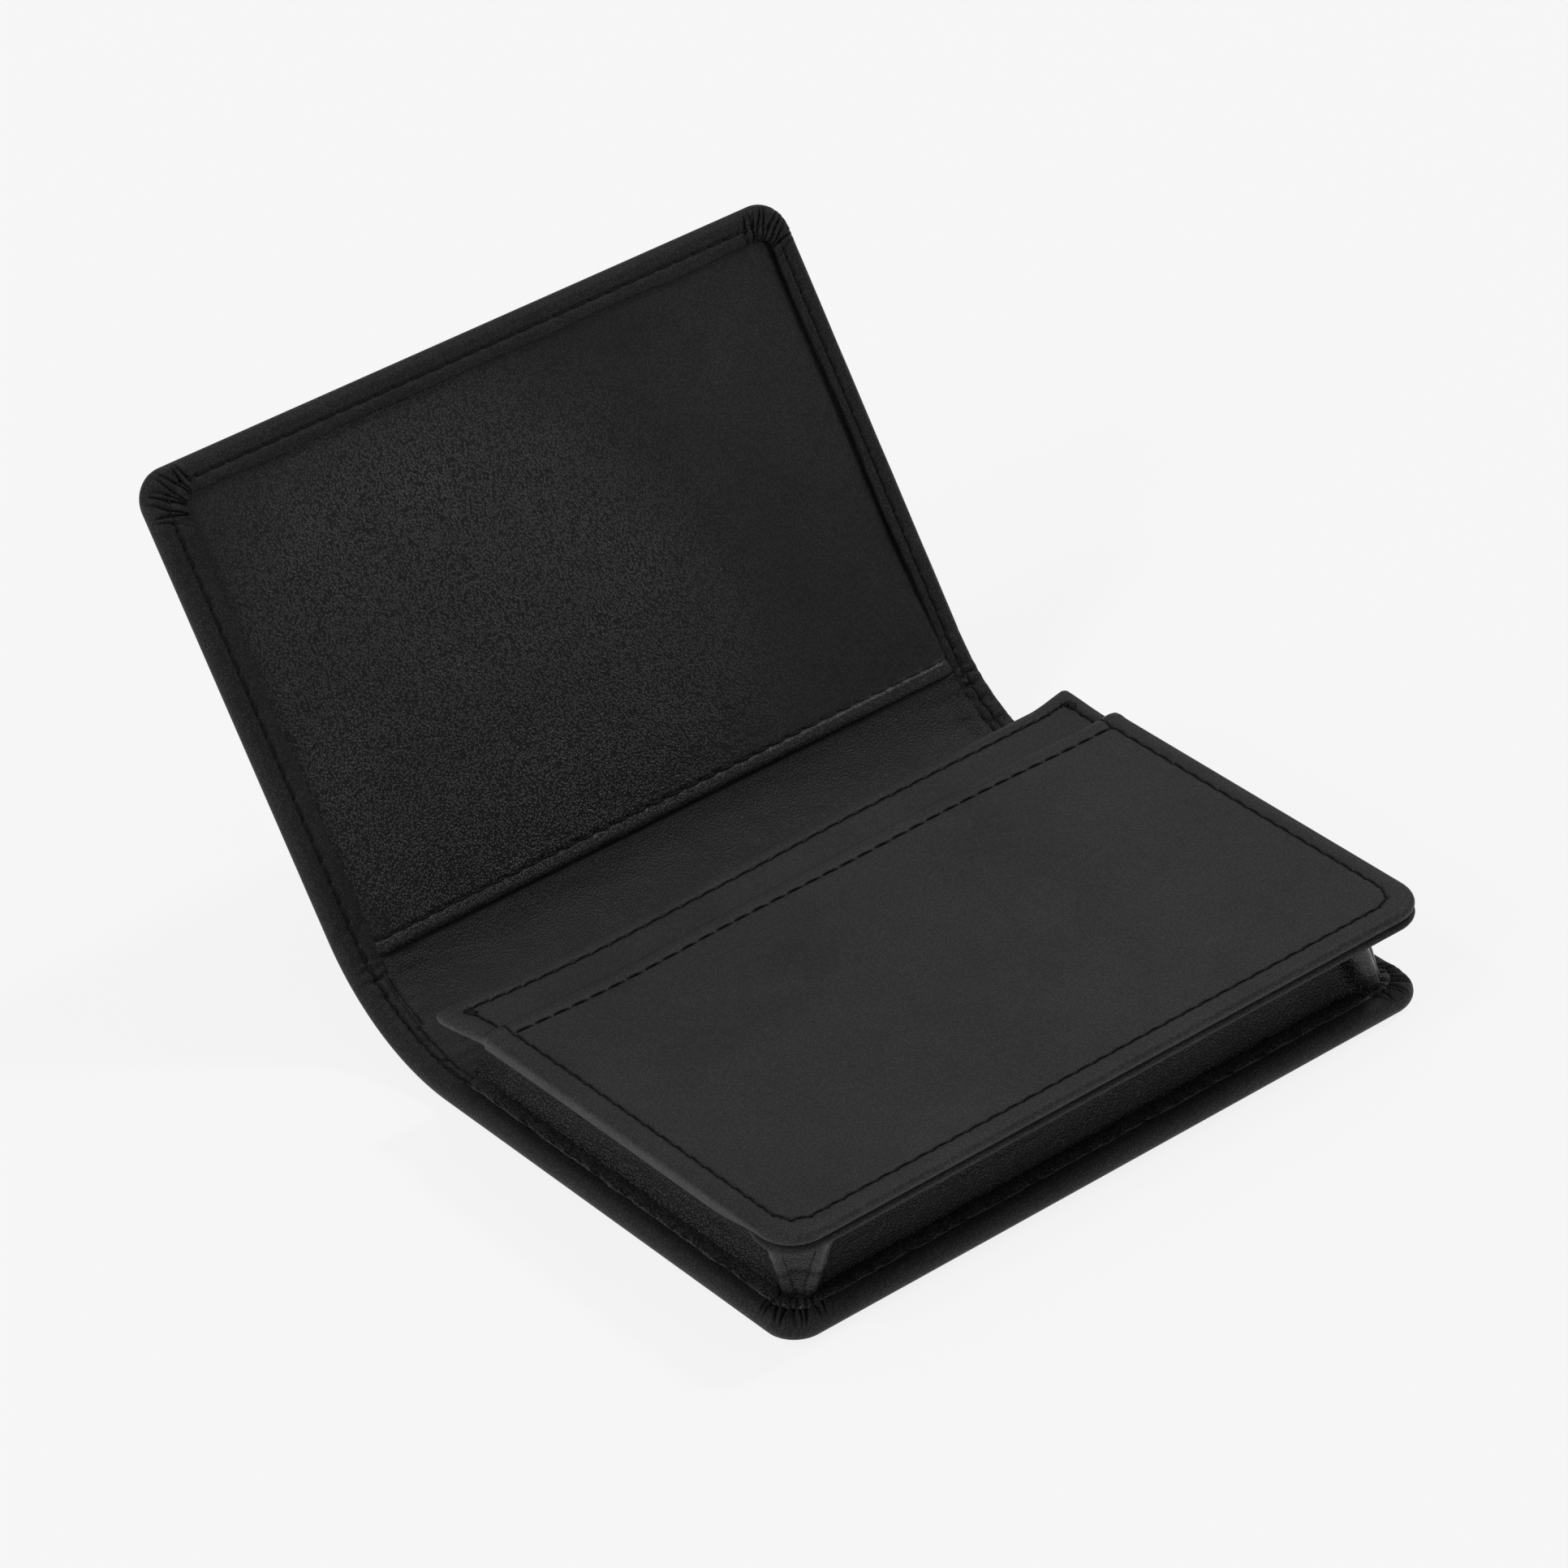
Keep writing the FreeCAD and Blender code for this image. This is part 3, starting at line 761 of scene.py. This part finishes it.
def lining_height(x, s):
    """The lining's top: base and spine at one level, thinner under the cover's pocket panel."""
    level = LINING_TOP - (LINING_TOP - COVER_LINING_TOP) * smoothstep(92.0, 95.5, s)
    open_part = smoothstep(60, 70, s) * smoothstep(96, 90, s)
    ends = smoothstep(LINING_CREASED, 50, np.abs(x))
    wrinkle = 0.05 * waves(x * 0.3 + s, 71, 3.4) * (0.25 + 0.75 * ends)
    wrinkle = wrinkle + 0.06 * waves_2d(x, s, 72, 5.0) * ends
    wrinkle = wrinkle + 0.05 * waves_2d(x * 0.35, s, 73, 9.0)
    crease = -0.14 * bump(waves(s + 0.1 * np.abs(x), 75, 4.2), 0, 0.16) * smoothstep(36, 46, np.abs(x))
    rise = 0.26 * smoothstep(2.5, 0.0, HALF - HEM_WIDTH - np.abs(x))
    return level + (wrinkle + crease + rise) * open_part - 0.02


def lining(name, s0, s1, nodes):
    """One length of lining, its grid finer towards the sides, where it is creased."""
    edge = HALF - LINING_INSET
    left = spaced(-edge, -LINING_CREASED, 0.45)
    middle = spaced(-LINING_CREASED, LINING_CREASED, 1.0)
    right = spaced(LINING_CREASED, edge, 0.45)
    xs = np.concatenate([left[:-1], middle, right[1:]])
    s, x = np.meshgrid(spaced(s0, s1, 0.5), xs, indexing="ij")
    upper = on_leather(x, s, lining_height(x, s))
    lower = on_leather(x, s, np.full(x.shape, LINING_BOTTOM - 0.2))
    piece = grid_solid(name, upper, lower, LINING)
    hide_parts(*nodes)
    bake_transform(piece)


def linings():
    lining("lining_lower", LINING_INSET, SPLIT,
           ("base_lining", "spine_lining", "spine_interlining"))
    lining("lining_upper", SPLIT, FLAT_LENGTH - LINING_INSET,
           ("cover_lining",))


# ---- cover pocket
def roll_drop(from_edge):
    """How far a quarter round has fallen, from 0 where it begins to 1 at the folded edge."""
    share = np.clip(PANEL_ROLL - from_edge, 0, PANEL_ROLL) / PANEL_ROLL
    return 1 - np.sqrt(np.clip(1 - share**2, 0, 1))


def panel_surface(x, s):
    """The cover pocket's panel: a folded double edge that stands proud, then one layer."""
    from_edge = s - PANEL_START
    fold = PANEL_RISE * smoothstep(20.0, 2.0, from_edge)
    roll = 0.75 * roll_drop(from_edge)
    seam = 0.13 * bump(from_edge, PANEL_STITCH, 0.4) - 0.03 * bump(from_edge, 1.3, 0.55)
    phase = (x + PANEL_HALF) / PANEL_PITCH
    from_hole = (phase - np.round(phase)) * PANEL_PITCH
    hole = 0.26 * bump(from_edge, PANEL_STITCH, 0.25) * bump(from_hole, 0, 0.3)
    pillow = 0.1 * waves_2d(x, s, 91, 38.0) + 0.04 * waves_2d(x, s, 92, 14.0)
    right_gap = 0.25 * smoothstep(HALF - 4.7, HALF - 3.9, x)
    left_gap = 0.16 * smoothstep(-HALF + 6.6, -HALF + 5.4, x)
    tuck = smoothstep(FLAT_LENGTH - 2.5, FLAT_LENGTH - 8.0, s) * smoothstep(2.5, 7.5, HALF - np.abs(x))
    return LINING_TOP + fold - roll - seam - hole + pillow * tuck - right_gap - left_gap


def cover_pocket():
    """The grained panel, its spine side edge folded and stitched, its rows closest at that edge."""
    near = PANEL_START + PANEL_ROLL * (1 - np.cos(np.linspace(0, np.pi / 2, 11)))
    seam = np.arange(PANEL_START + PANEL_ROLL + 0.1, PANEL_START + 6.5, 0.16)
    rest = spaced(PANEL_START + 6.6, FLAT_LENGTH - PANEL_INSET, 1.2)
    rows = np.concatenate([near, seam, rest])
    xs = spaced(-HALF + PANEL_INSET, HALF - PANEL_INSET, PANEL_PITCH / 9)
    s, x = np.meshgrid(rows, xs, indexing="ij")
    top = panel_surface(x, s)
    from_edge = s - PANEL_START
    thin = 0.08 + 0.5 * smoothstep(6.0, 1.0, from_edge) + 0.45 * roll_drop(from_edge)
    bottom = np.minimum(COVER_LINING_TOP + thin, top - 0.05)
    piece = grid_solid("cover_pocket_leather", on_leather(x, s, top), on_leather(x, s, bottom), GRAINED)
    folded_rows = int(np.searchsorted(rows, PANEL_START + PANEL_FOLDED))
    paint_rows(piece, FOLDED, rows, xs, [(0, folded_rows)])
    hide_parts("cover_pocket_panel")
    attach(piece, "cover")
    holes = straight_holes(-PANEL_HALF, PANEL_HALF, PANEL_START + PANEL_STITCH)
    thread = seam_thread("cover_pocket_stitches", holes, LINING_TOP + PANEL_RISE - 0.2, on_leather)
    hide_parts("cover_pocket_thread")
    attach(thread, "cover")


# ---- raised wall
def wall_shape(x, q, z):
    """The wall's small departures from a flat plate: q runs from its front edge to its mouth."""
    x, q, z = np.broadcast_arrays(x, q, z)
    to_mouth = WALL_LENGTH - q
    near_mouth = smoothstep(24, 0, to_mouth)
    sag = 1.05 * bump(x, -30, 17) + 0.5 * bump(x, -6, 14)
    flare = smoothstep(9, 0, to_mouth) * smoothstep(-HALF + 9, -HALF, x)
    flare_right = smoothstep(8, 0, to_mouth) * smoothstep(HALF - 8, HALF, x)
    bow = 0.25 * waves_2d(x, q, 131, 60.0)
    inside = smoothstep(0, 14, HALF - np.abs(x)) * smoothstep(0, 14, q) * smoothstep(0, 14, to_mouth)
    down = sag * near_mouth - bow * inside
    y = FRONT - WALL_OVERHANG + q + 0.5 * flare + 0.7 * flare_right
    return np.stack([x - 1.3 * flare, y, WALL_BOTTOM + z - down + 0.5 * flare_right], -1)


def from_mouth(x, q, z):
    return wall_shape(x, WALL_LENGTH - q, z)


def seam_relief(stitch_depth, groove):
    """The groove and holes of a seam at one depth, and the fullness of the leather outside it."""

    def relief(rim, depths):
        near = np.abs(rim.count - np.round(rim.count))[:, None] * STITCH_PITCH
        lift = -groove * bump(depths, stitch_depth, 0.45)
        lift = lift - 0.42 * bump(depths, stitch_depth, 0.25) * bump(near, 0, 0.32)
        return lift + bump(depths, 1.7, 0.75) * (0.12 + 0.05 * waves(rim.count, 61, 4.0)[:, None])

    return relief


def rim_depths(stitch):
    """Depths of a plate's visible face from its rolled rim inwards, closer at the seam."""
    close = [stitch + k * 0.12 for k in range(-5, 6)]
    return [1.35, 1.8, close[0] - 0.3] + close + [close[-1] + 0.35, stitch + 1.6, stitch + 2.6, 7.2]


def hidden(*points):
    """Profile points that take no relief."""
    return [(depth, height, 0, 0) for depth, height in points]


def slip_profile():
    """Inner face, turned edge inside the rim, rolled rim and upper face of the slip pocket's leather."""
    points = hidden((7.2, 2.2), (4.0, 2.2), (2.0, 2.2), (1.2, 2.14), (0.8, 1.95))
    points += hidden((0.8, 1.75), (0.8, 1.5), (0.7, 1.38), (0.5, 1.32), (0.3, 1.38))
    for angle in np.linspace(math.radians(-52), math.pi / 2, 13):
        points.append((0.95 - 0.95 * math.cos(angle), 2.1 + (WALL_TOP - 2.1) * math.sin(angle), 0.3, 0))
    return points + [(depth, WALL_TOP, 1, 0) for depth in rim_depths(RIM_STITCH)]


def lower_rim_profile():
    """The wall's underside with its own rolled rim, which carries the gusset."""
    points = hidden((7.2, 0.0), (5.0, 0.0), (3.0, 0.0), (1.6, 0.0))
    for angle in np.linspace(-math.pi / 2, math.pi / 2, 11):
        points.append((0.85 * (1 - math.cos(angle)) - 0.04, 0.72 + 0.72 * math.sin(angle), 1, 0))
    return points + hidden((1.3, 1.25), (1.7, 0.95), (2.1, 0.62), (4.0, 0.6), (7.2, 0.6))


def face_profile():
    """Inner face, turned edge, rolled rim and upper face of the wall's own panel."""
    points = hidden((7.2, 1.45), (3.0, 1.45), (1.75, 1.45), (1.45, 1.3), (1.42, 0.9))
    points += hidden((1.4, 0.5), (1.25, 0.25), (1.05, 0.16))
    for angle in np.linspace(-math.pi / 2 * 0.85, math.pi / 2, 13):
        points.append((0.95 - 0.95 * math.cos(angle), 1.0 + (FACE_TOP - 1.0) * math.sin(angle), 0, 0))
    return points + [(depth, FACE_TOP, 1, 0) for depth in rim_depths(MOUTH_STITCH)]


def plain(rim, depths):
    return np.zeros_like(depths)


def back_place(x, q, z):
    """The underside draws in from the sides, where the upper leather wraps the whole edge."""
    inward = 2.7 * smoothstep(HALF - 7.0, HALF, np.abs(x)) * smoothstep(WRAP_START, WRAP_END, q)
    return wall_shape(x - np.sign(x) * inward, q, z)


def slip_place(x, q, z):
    """The slip pocket on the wall: its mouth is rounded and seamed, its sides wrap the rim."""
    to_mouth = SLIP_LENGTH - q
    rounded = np.clip(0.5 - to_mouth, 0, 0.5) / 0.5
    drop = 0.42 * (1 - np.sqrt(np.clip(1 - rounded**2, 0, 1)))
    seam = bump(to_mouth, MOUTH_STITCH, 0.35) * smoothstep(HALF - 2.6, HALF - 3.6, np.abs(x))
    drop = drop + 0.24 * seam - 0.14 * bump(to_mouth, 1.2, 0.7)
    z = np.where(z > 2.5, z - drop, np.where(z > SLIP_INNER, z + 0.5 * drop, z))
    wrap = SIDE_WRAP * smoothstep(WRAP_START, WRAP_END, q)
    return wall_shape(x, q, np.where(z < SLIP_INNER, SLIP_INNER - (SLIP_INNER - z) * (1 + wrap), z))


def slip_pocket(rim):
    """The slip pocket's leather, its mouth's edge painted black, which also stands as painted shade
    there.
    """
    piece = rolled_plate("slip_pocket_leather", rim, slip_profile(), slip_place, SMOOTH,
                         seam_relief(RIM_STITCH, groove=0.12))
    # upward faces along the mouth: black edge paint that is also painted shade
    piece.data.materials.append(EDGE_PAINT_AND_SHADE)
    edge_paint_and_shade_from = (FRONT - WALL_OVERHANG + SLIP_LENGTH - MOUTH_EDGE) * MM
    for face in piece.data.polygons:
        if face.center.y > edge_paint_and_shade_from and face.normal.z > 0.15:
            face.material_index = 1
    return piece


def bar_tacks():
    """Four crossed stitches at each end of the wall's mouth."""
    stitches = []
    for x in (-HALF + RIM_STITCH, HALF - RIM_STITCH):
        middle = np.array([x, 3.4])
        for turn in (-1.0, -0.3, 0.3, 1.0):
            reach = np.array([math.sin(turn), math.cos(turn)])
            stitches.append((middle - reach, middle + reach, FACE_TOP + 0.06))
    return thread_piece("bar_tack_stitches", stitches, from_mouth, TACK_THREAD_RADIUS)


def wall():
    """The raised wall: three leathers, each with its rim, and the threads that hold them."""
    slip_rim = Rim(HALF, SLIP_LENGTH, WALL_CORNER_RADIUS, SLIP_MOUTH_ROWS)
    slip = slip_pocket(slip_rim)
    face_rim = Rim(HALF - FACE_INSET, WALL_LENGTH - FACE_HIDDEN, FACE_CORNER_RADIUS)
    face = rolled_plate("wall_face_leather", face_rim, face_profile(), from_mouth, SMOOTH,
                        seam_relief(MOUTH_STITCH, groove=0.16))
    back_rim = Rim(HALF, WALL_LENGTH - 1.0, WALL_CORNER_RADIUS)
    back = rolled_plate("wall_back_leather", back_rim, lower_rim_profile(), back_place, TURNED, plain)
    rim_thread = seam_thread("rim_stitches", slip_rim.holes(RIM_STITCH), WALL_TOP - THREAD_SUNK,
                             wall_shape)
    shown = [hole for hole in face_rim.holes(MOUTH_STITCH) if hole[1] < WALL_LENGTH - SLIP_LENGTH + 1.5]
    mouth_thread = seam_thread("mouth_stitches", shown, FACE_TOP - THREAD_SUNK, from_mouth)
    side = HALF - RIM_STITCH - 0.3
    slip_holes = straight_holes(-side, side, SLIP_LENGTH - MOUTH_STITCH)
    slip_thread = seam_thread("slip_pocket_stitches", slip_holes, WALL_TOP - 0.14, wall_shape)
    for piece, cad, slot in (
        (slip, "slip_pocket_panel", "smooth_leather"),
        (face, "wall_face_panel", "smooth_leather"),
        (back, "wall_back_lining", "lining_leather"),
        (rim_thread, "wall_rim_thread", "thread"),
        (mouth_thread, "wall_top_thread", "thread"),
        (slip_thread, "slip_pocket_thread", "thread"),
        (bar_tacks(), "bar_tacks", "thread"),
    ):
        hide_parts(cad)
        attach(piece, "wall")


# ---- gusset
GUSSET_BOTTOM = LINING_TOP - 0.05
GUSSET_TOP = WALL_BOTTOM + 0.08
GUSSET_LEAF = 0.7
SIDE_FOOT = 4.9
FRONT_FOOT = 5.3
FLANGE_HEIGHT = 0.5
GUSSET_HEAD = 3.0
GUSSET_END = 68.0
GUSSET_STEP = 0.8
FLANGE_DEPTH = 3.65
FLANGE_HALF_WIDTH = 1.2
CORNER_SMOOTHING = 6         # points of the corner's curve for each of its controls
PLEAT_CONTROLS = (3, 11)     # the controls between which a corner is a pleat
# A corner pleat's folds as (left foot, left head, right foot, right head)
STRAIGHT_PLEAT = ((5.0, 5.4), (1.9, 5.0), (5.9, 4.5), (6.9, 1.0))
SLANTED_PLEAT = ((4.3, 4.7), (7.2, 5.4), (5.2, 3.8), (9.6, 2.4))


def leaf_depth(foot, v):
    """Distance from the edge of the two leaves, folded towards the cards half way up."""
    fold = foot + 1.5
    lower = foot + (fold - foot) * (1 - np.clip(1 - 2 * v, 0, 1) ** 2)
    upper = GUSSET_HEAD + (fold - GUSSET_HEAD) * np.clip(2 - 2 * v, 0, 1) ** 0.9
    return np.where(v < 0.5, lower, upper)


def smooth_line(controls, samples):
    """A curve through control points, which are arrays of shape (points, ..., 2)."""
    p = np.concatenate([[2 * controls[0] - controls[1]], controls, [2 * controls[-1] - controls[-2]]])
    curve = []
    for k in range(1, len(p) - 2):
        for t in np.linspace(0, 1, samples, endpoint=False):
            a, b, c, d = p[k - 1], p[k], p[k + 1], p[k + 2]
            curve.append(0.5 * (2 * b + (c - a) * t + (2 * a - 5 * b + 4 * c - d) * t**2
                                + (3 * b - a - 3 * c + d) * t**3))
    curve.append(controls[-1])
    return np.array(curve)


def corner_controls(v, left_foot, left_head, right_foot, right_head):
    """The pleat at a corner, as plan points from the corner for each height share v.

    Its two outer folds run from their foot on the hem to their head under the wall."""
    left = np.array(left_foot) + np.subtract(left_head, left_foot) * v[:, None]
    right = np.array(right_foot) + np.subtract(right_head, right_foot) * v[:, None]
    inward = np.array([1, 1]) / math.sqrt(2)
    dish = 0.75 * smoothstep(0.0, 0.35, v) * smoothstep(1.04, 0.8, v)
    middle = (left + right) / 2 + inward * dish[:, None]
    near_left = left + (middle - left) * 0.16 + inward * 0.55 * dish[:, None]
    near_right = right + (middle - right) * 0.16 + inward * 0.55 * dish[:, None]
    side, front = leaf_depth(SIDE_FOOT, v), leaf_depth(FRONT_FOOT, v)
    level = np.ones_like(v)
    return np.array([
        np.stack([side, 14 * level], -1),
        np.stack([side, 11 * level], -1),
        np.stack([side * 0.75 + left[:, 0] * 0.25, 9.4 * level], -1),
        left + np.array([0.7, 1.5]),
        left + np.array([0.1, 0.5]),
        left + np.array([0.05, 0.0]),
        near_left,
        middle,
        near_right,
        right + np.array([0.0, 0.05]),
        right + np.array([0.5, 0.1]),
        right + np.array([1.5, 0.7]),
        np.stack([np.maximum(9.6, right[:, 0] + 2.2), front * 0.75 + right[:, 1] * 0.25], -1),
        np.stack([np.maximum(11.5, right[:, 0] + 3.6), front], -1),
        np.stack([14.5 * level, front], -1),
    ])


def flange():
    """The gusset's lower edge, turned outwards over the hem and sewn down: a bead round three sides."""
    rim = Rim(HALF, GUSSET_END - 1.0, CORNER_RADIUS)
    angle = np.linspace(0, 2 * np.pi, 19)[:-1]
    depth = FLANGE_DEPTH + FLANGE_HALF_WIDTH * np.cos(angle)
    arch = np.sign(np.sin(angle)) * np.abs(np.sin(angle)) ** 0.75
    rise = (0.25 + (FLANGE_HEIGHT - 0.25) * arch)[None, :]
    upper = rise > 0.2
    count, turn = rim.count[:, None], rim.turn[:, None]
    corner = smoothstep(6.5, 4.0, np.abs(turn))
    pucker = 0.5 + 0.5 * np.cos(2 * np.pi * (turn / 1.6 + 0.15 * np.sin(turn * 2.3)))
    uneven = 0.1 * waves(count, 151, 1.6) * upper + 0.35 * corner * (pucker - 0.3) * upper
    start = smoothstep(0.0, 2.0, rim.length - rim.edge[:, 1])[:, None]
    plan = rim.at(np.tile(depth, (len(rim.count), 1)) + 0.12 * waves(count, 152, 3.0))
    height = HEM_TOP - 0.25 + (rise + uneven - 0.1) * (0.4 + 0.6 * start)
    points = on_leather(plan[..., 0], plan[..., 1], height)
    samples, ring = len(rim.count), len(angle)
    faces = tube_faces(samples, ring)
    # the bead's paler leather is painted light
    piece = add_mesh("gusset_sewn_edge", points.reshape(-1, 3), faces, FLANGE_LIT)
    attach(piece, "base")


def gusset_line(v):
    """The gusset's plan points for each height share v, and where its two pleats begin in it."""
    straight = smooth_line(corner_controls(v, *STRAIGHT_PLEAT), CORNER_SMOOTHING)
    slanted = smooth_line(corner_controls(v, *SLANTED_PLEAT), CORNER_SMOOTHING)
    left_corner = straight + np.array([-HALF, FRONT])
    right_corner = (slanted * np.array([-1, 1]) + np.array([HALF, FRONT]))[::-1]
    side, front = leaf_depth(SIDE_FOOT, v), leaf_depth(FRONT_FOOT, v)
    left_run = []
    for q in spaced(GUSSET_END, 14.5, GUSSET_STEP)[:-1]:
        end = q - 2.0 * v * smoothstep(GUSSET_END - 8, GUSSET_END, q)
        left_run.append(np.stack([side - HALF, FRONT + end], -1))
    front_run = []
    for x in spaced(-HALF + 15.3, HALF - 15.3, GUSSET_STEP):
        front_run.append(np.stack([np.full_like(v, x), FRONT + front], -1))
    left_run, front_run = np.array(left_run), np.array(front_run)
    right_run = left_run[::-1] * np.array([-1, 1])
    line = np.concatenate([left_run, left_corner, front_run, right_corner, right_run])
    return line, (len(left_run), len(left_run) + len(left_corner) + len(front_run))


def gusset():
    """The bellows on three sides, crumpled a little."""
    v = np.linspace(0, 1, 30)
    line, corners = gusset_line(v)
    height = GUSSET_BOTTOM + (GUSSET_TOP - GUSSET_BOTTOM) * v
    heights = np.broadcast_to(height[None, :, None], (*line.shape[:2], 1))
    surface = np.concatenate([line, heights], -1)
    out = np.cross(np.gradient(surface, axis=1), np.gradient(surface, axis=0))
    out /= np.linalg.norm(out, axis=2)[..., None]
    arc = np.concatenate([[0], np.cumsum(np.linalg.norm(np.diff(line[:, 10], axis=0), axis=1))])
    crumple = 0.08 * waves_2d(arc[:, None] * 0.45, height[None, :] * 1.6, 171, 5.0)
    crumple = crumple * smoothstep(0, 0.12, v) * smoothstep(1, 0.88, v)
    surface = surface + out * crumple[..., None]
    piece = grid_solid("gusset_bellows", surface, surface - out * GUSSET_LEAF, GUSSET, sharp_angle=70)
    first, last = (CORNER_SMOOTHING * control for control in PLEAT_CONTROLS)
    # corner pleat rows: smoother leather, darkened as painted shade
    paint_rows(piece, PLEAT_SHADED, line, v, [(start + first, start + last) for start in corners])
    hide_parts("gusset_front", "gusset_left", "gusset_right",
                "gusset_pleat_left", "gusset_pleat_right")
    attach(piece, "base")
    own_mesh(piece)


# ---- boards
def boards():
    """The base's and the cover's boards stay as the CAD has them, the wall's sags with its leathers."""
    for name in ("base_board", "cover_board"):
        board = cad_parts[name]
        board.data.materials.clear()
        board.data.materials.append(BOARD)
    rows = spaced(2.0, WALL_LENGTH - 2.0, 1.5)
    columns = spaced(-HALF + 2.1, HALF - 2.1, 1.5)
    q, x = np.meshgrid(rows, columns, indexing="ij")
    piece = grid_solid("wall_stiffener", wall_shape(x, q, np.full(x.shape, 1.38)),
                       wall_shape(x, q, np.full(x.shape, 0.66)), BOARD)
    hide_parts("wall_board")
    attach(piece, "wall")


# ---- stage, light and camera
FLOOR_GLOW = 0.843
WORLD_GLOW = 0.255


def floor():
    """A large pale sheet just under the wallet, which glows a little like a lit paper sweep."""
    work = bmesh.new()
    bmesh.ops.create_grid(work, x_segments=8, y_segments=8, size=5.0)
    mesh = bpy.data.meshes.new("floor")
    work.to_mesh(mesh)
    work.free()
    plane = add_object("floor", mesh)
    plane.location.z = -0.0001
    material, tree, shader = new_material("pale_floor")
    set_inputs(tree, shader, {"Base Color": (0.12, 0.12, 0.12, 1), "Roughness": 0.9,
                              "Specular IOR Level": 0.0, "Emission Color": (1, 1, 1, 1),
                              "Emission Strength": FLOOR_GLOW})
    mesh.materials.append(material)


def sun(name, direction, strength, spread):
    """A soft light from a direction, its spread an angle in degrees."""
    light = bpy.data.lights.new(name, "SUN")
    light.energy = strength
    light.angle = math.radians(spread)
    lamp = add_object(name, light)
    lamp.rotation_mode = "QUATERNION"
    lamp.rotation_quaternion = Vector(direction).to_track_quat("Z", "Y")


def lights():
    world = bpy.data.worlds.new("studio")
    world.use_nodes = True
    background = world.node_tree.nodes["Background"]
    set_inputs(world.node_tree, background, {"Color": (1, 1, 1, 1), "Strength": WORLD_GLOW})
    bpy.context.scene.world = world
    sun("softbox_behind", (0.42, 0.6, 0.68), strength=0.28, spread=80)
    sun("key_right", (0.6, 0.0, 0.8), strength=0.68, spread=7)
    sun("key_left", (-0.6, 0.2, 0.8), strength=0.4, spread=7)
    sun("fill_left", (-0.95, -0.12, 0.6), strength=0.55, spread=20)
    bpy.context.scene.view_settings.view_transform = "Standard"


CAMERA_PLACE = (-441.72, -545.73, 512.16)
CAMERA_AZIMUTH = 37.600
CAMERA_DOWN = 33.826
CAMERA_ROLL = -3.376
CAMERA_LENS = 157.68
CAMERA_SENSOR = 36.0


def camera():
    turn, down, roll = (math.radians(a) for a in (CAMERA_AZIMUTH, CAMERA_DOWN, CAMERA_ROLL))
    forward = Vector((math.sin(turn) * math.cos(down), math.cos(turn) * math.cos(down), -math.sin(down)))
    level = Vector((math.cos(turn), -math.sin(turn), 0))
    above = level.cross(forward)
    right = level * math.cos(roll) + above * math.sin(roll)
    up = right.cross(forward)
    lens = bpy.data.cameras.new("camera")
    lens.lens = CAMERA_LENS
    lens.sensor_width = CAMERA_SENSOR
    lens.clip_start, lens.clip_end = 0.01, 50
    eye = add_object("camera", lens)
    axes = Matrix((right, up, -forward)).transposed().to_4x4()
    eye.matrix_world = Matrix.Translation(Vector(CAMERA_PLACE) * MM) @ axes
    bpy.context.scene.camera = eye


outer_leather()
linings()
cover_pocket()
wall()
gusset()
flange()
boards()
floor()
lights()
camera()

bpy.context.view_layer.update()
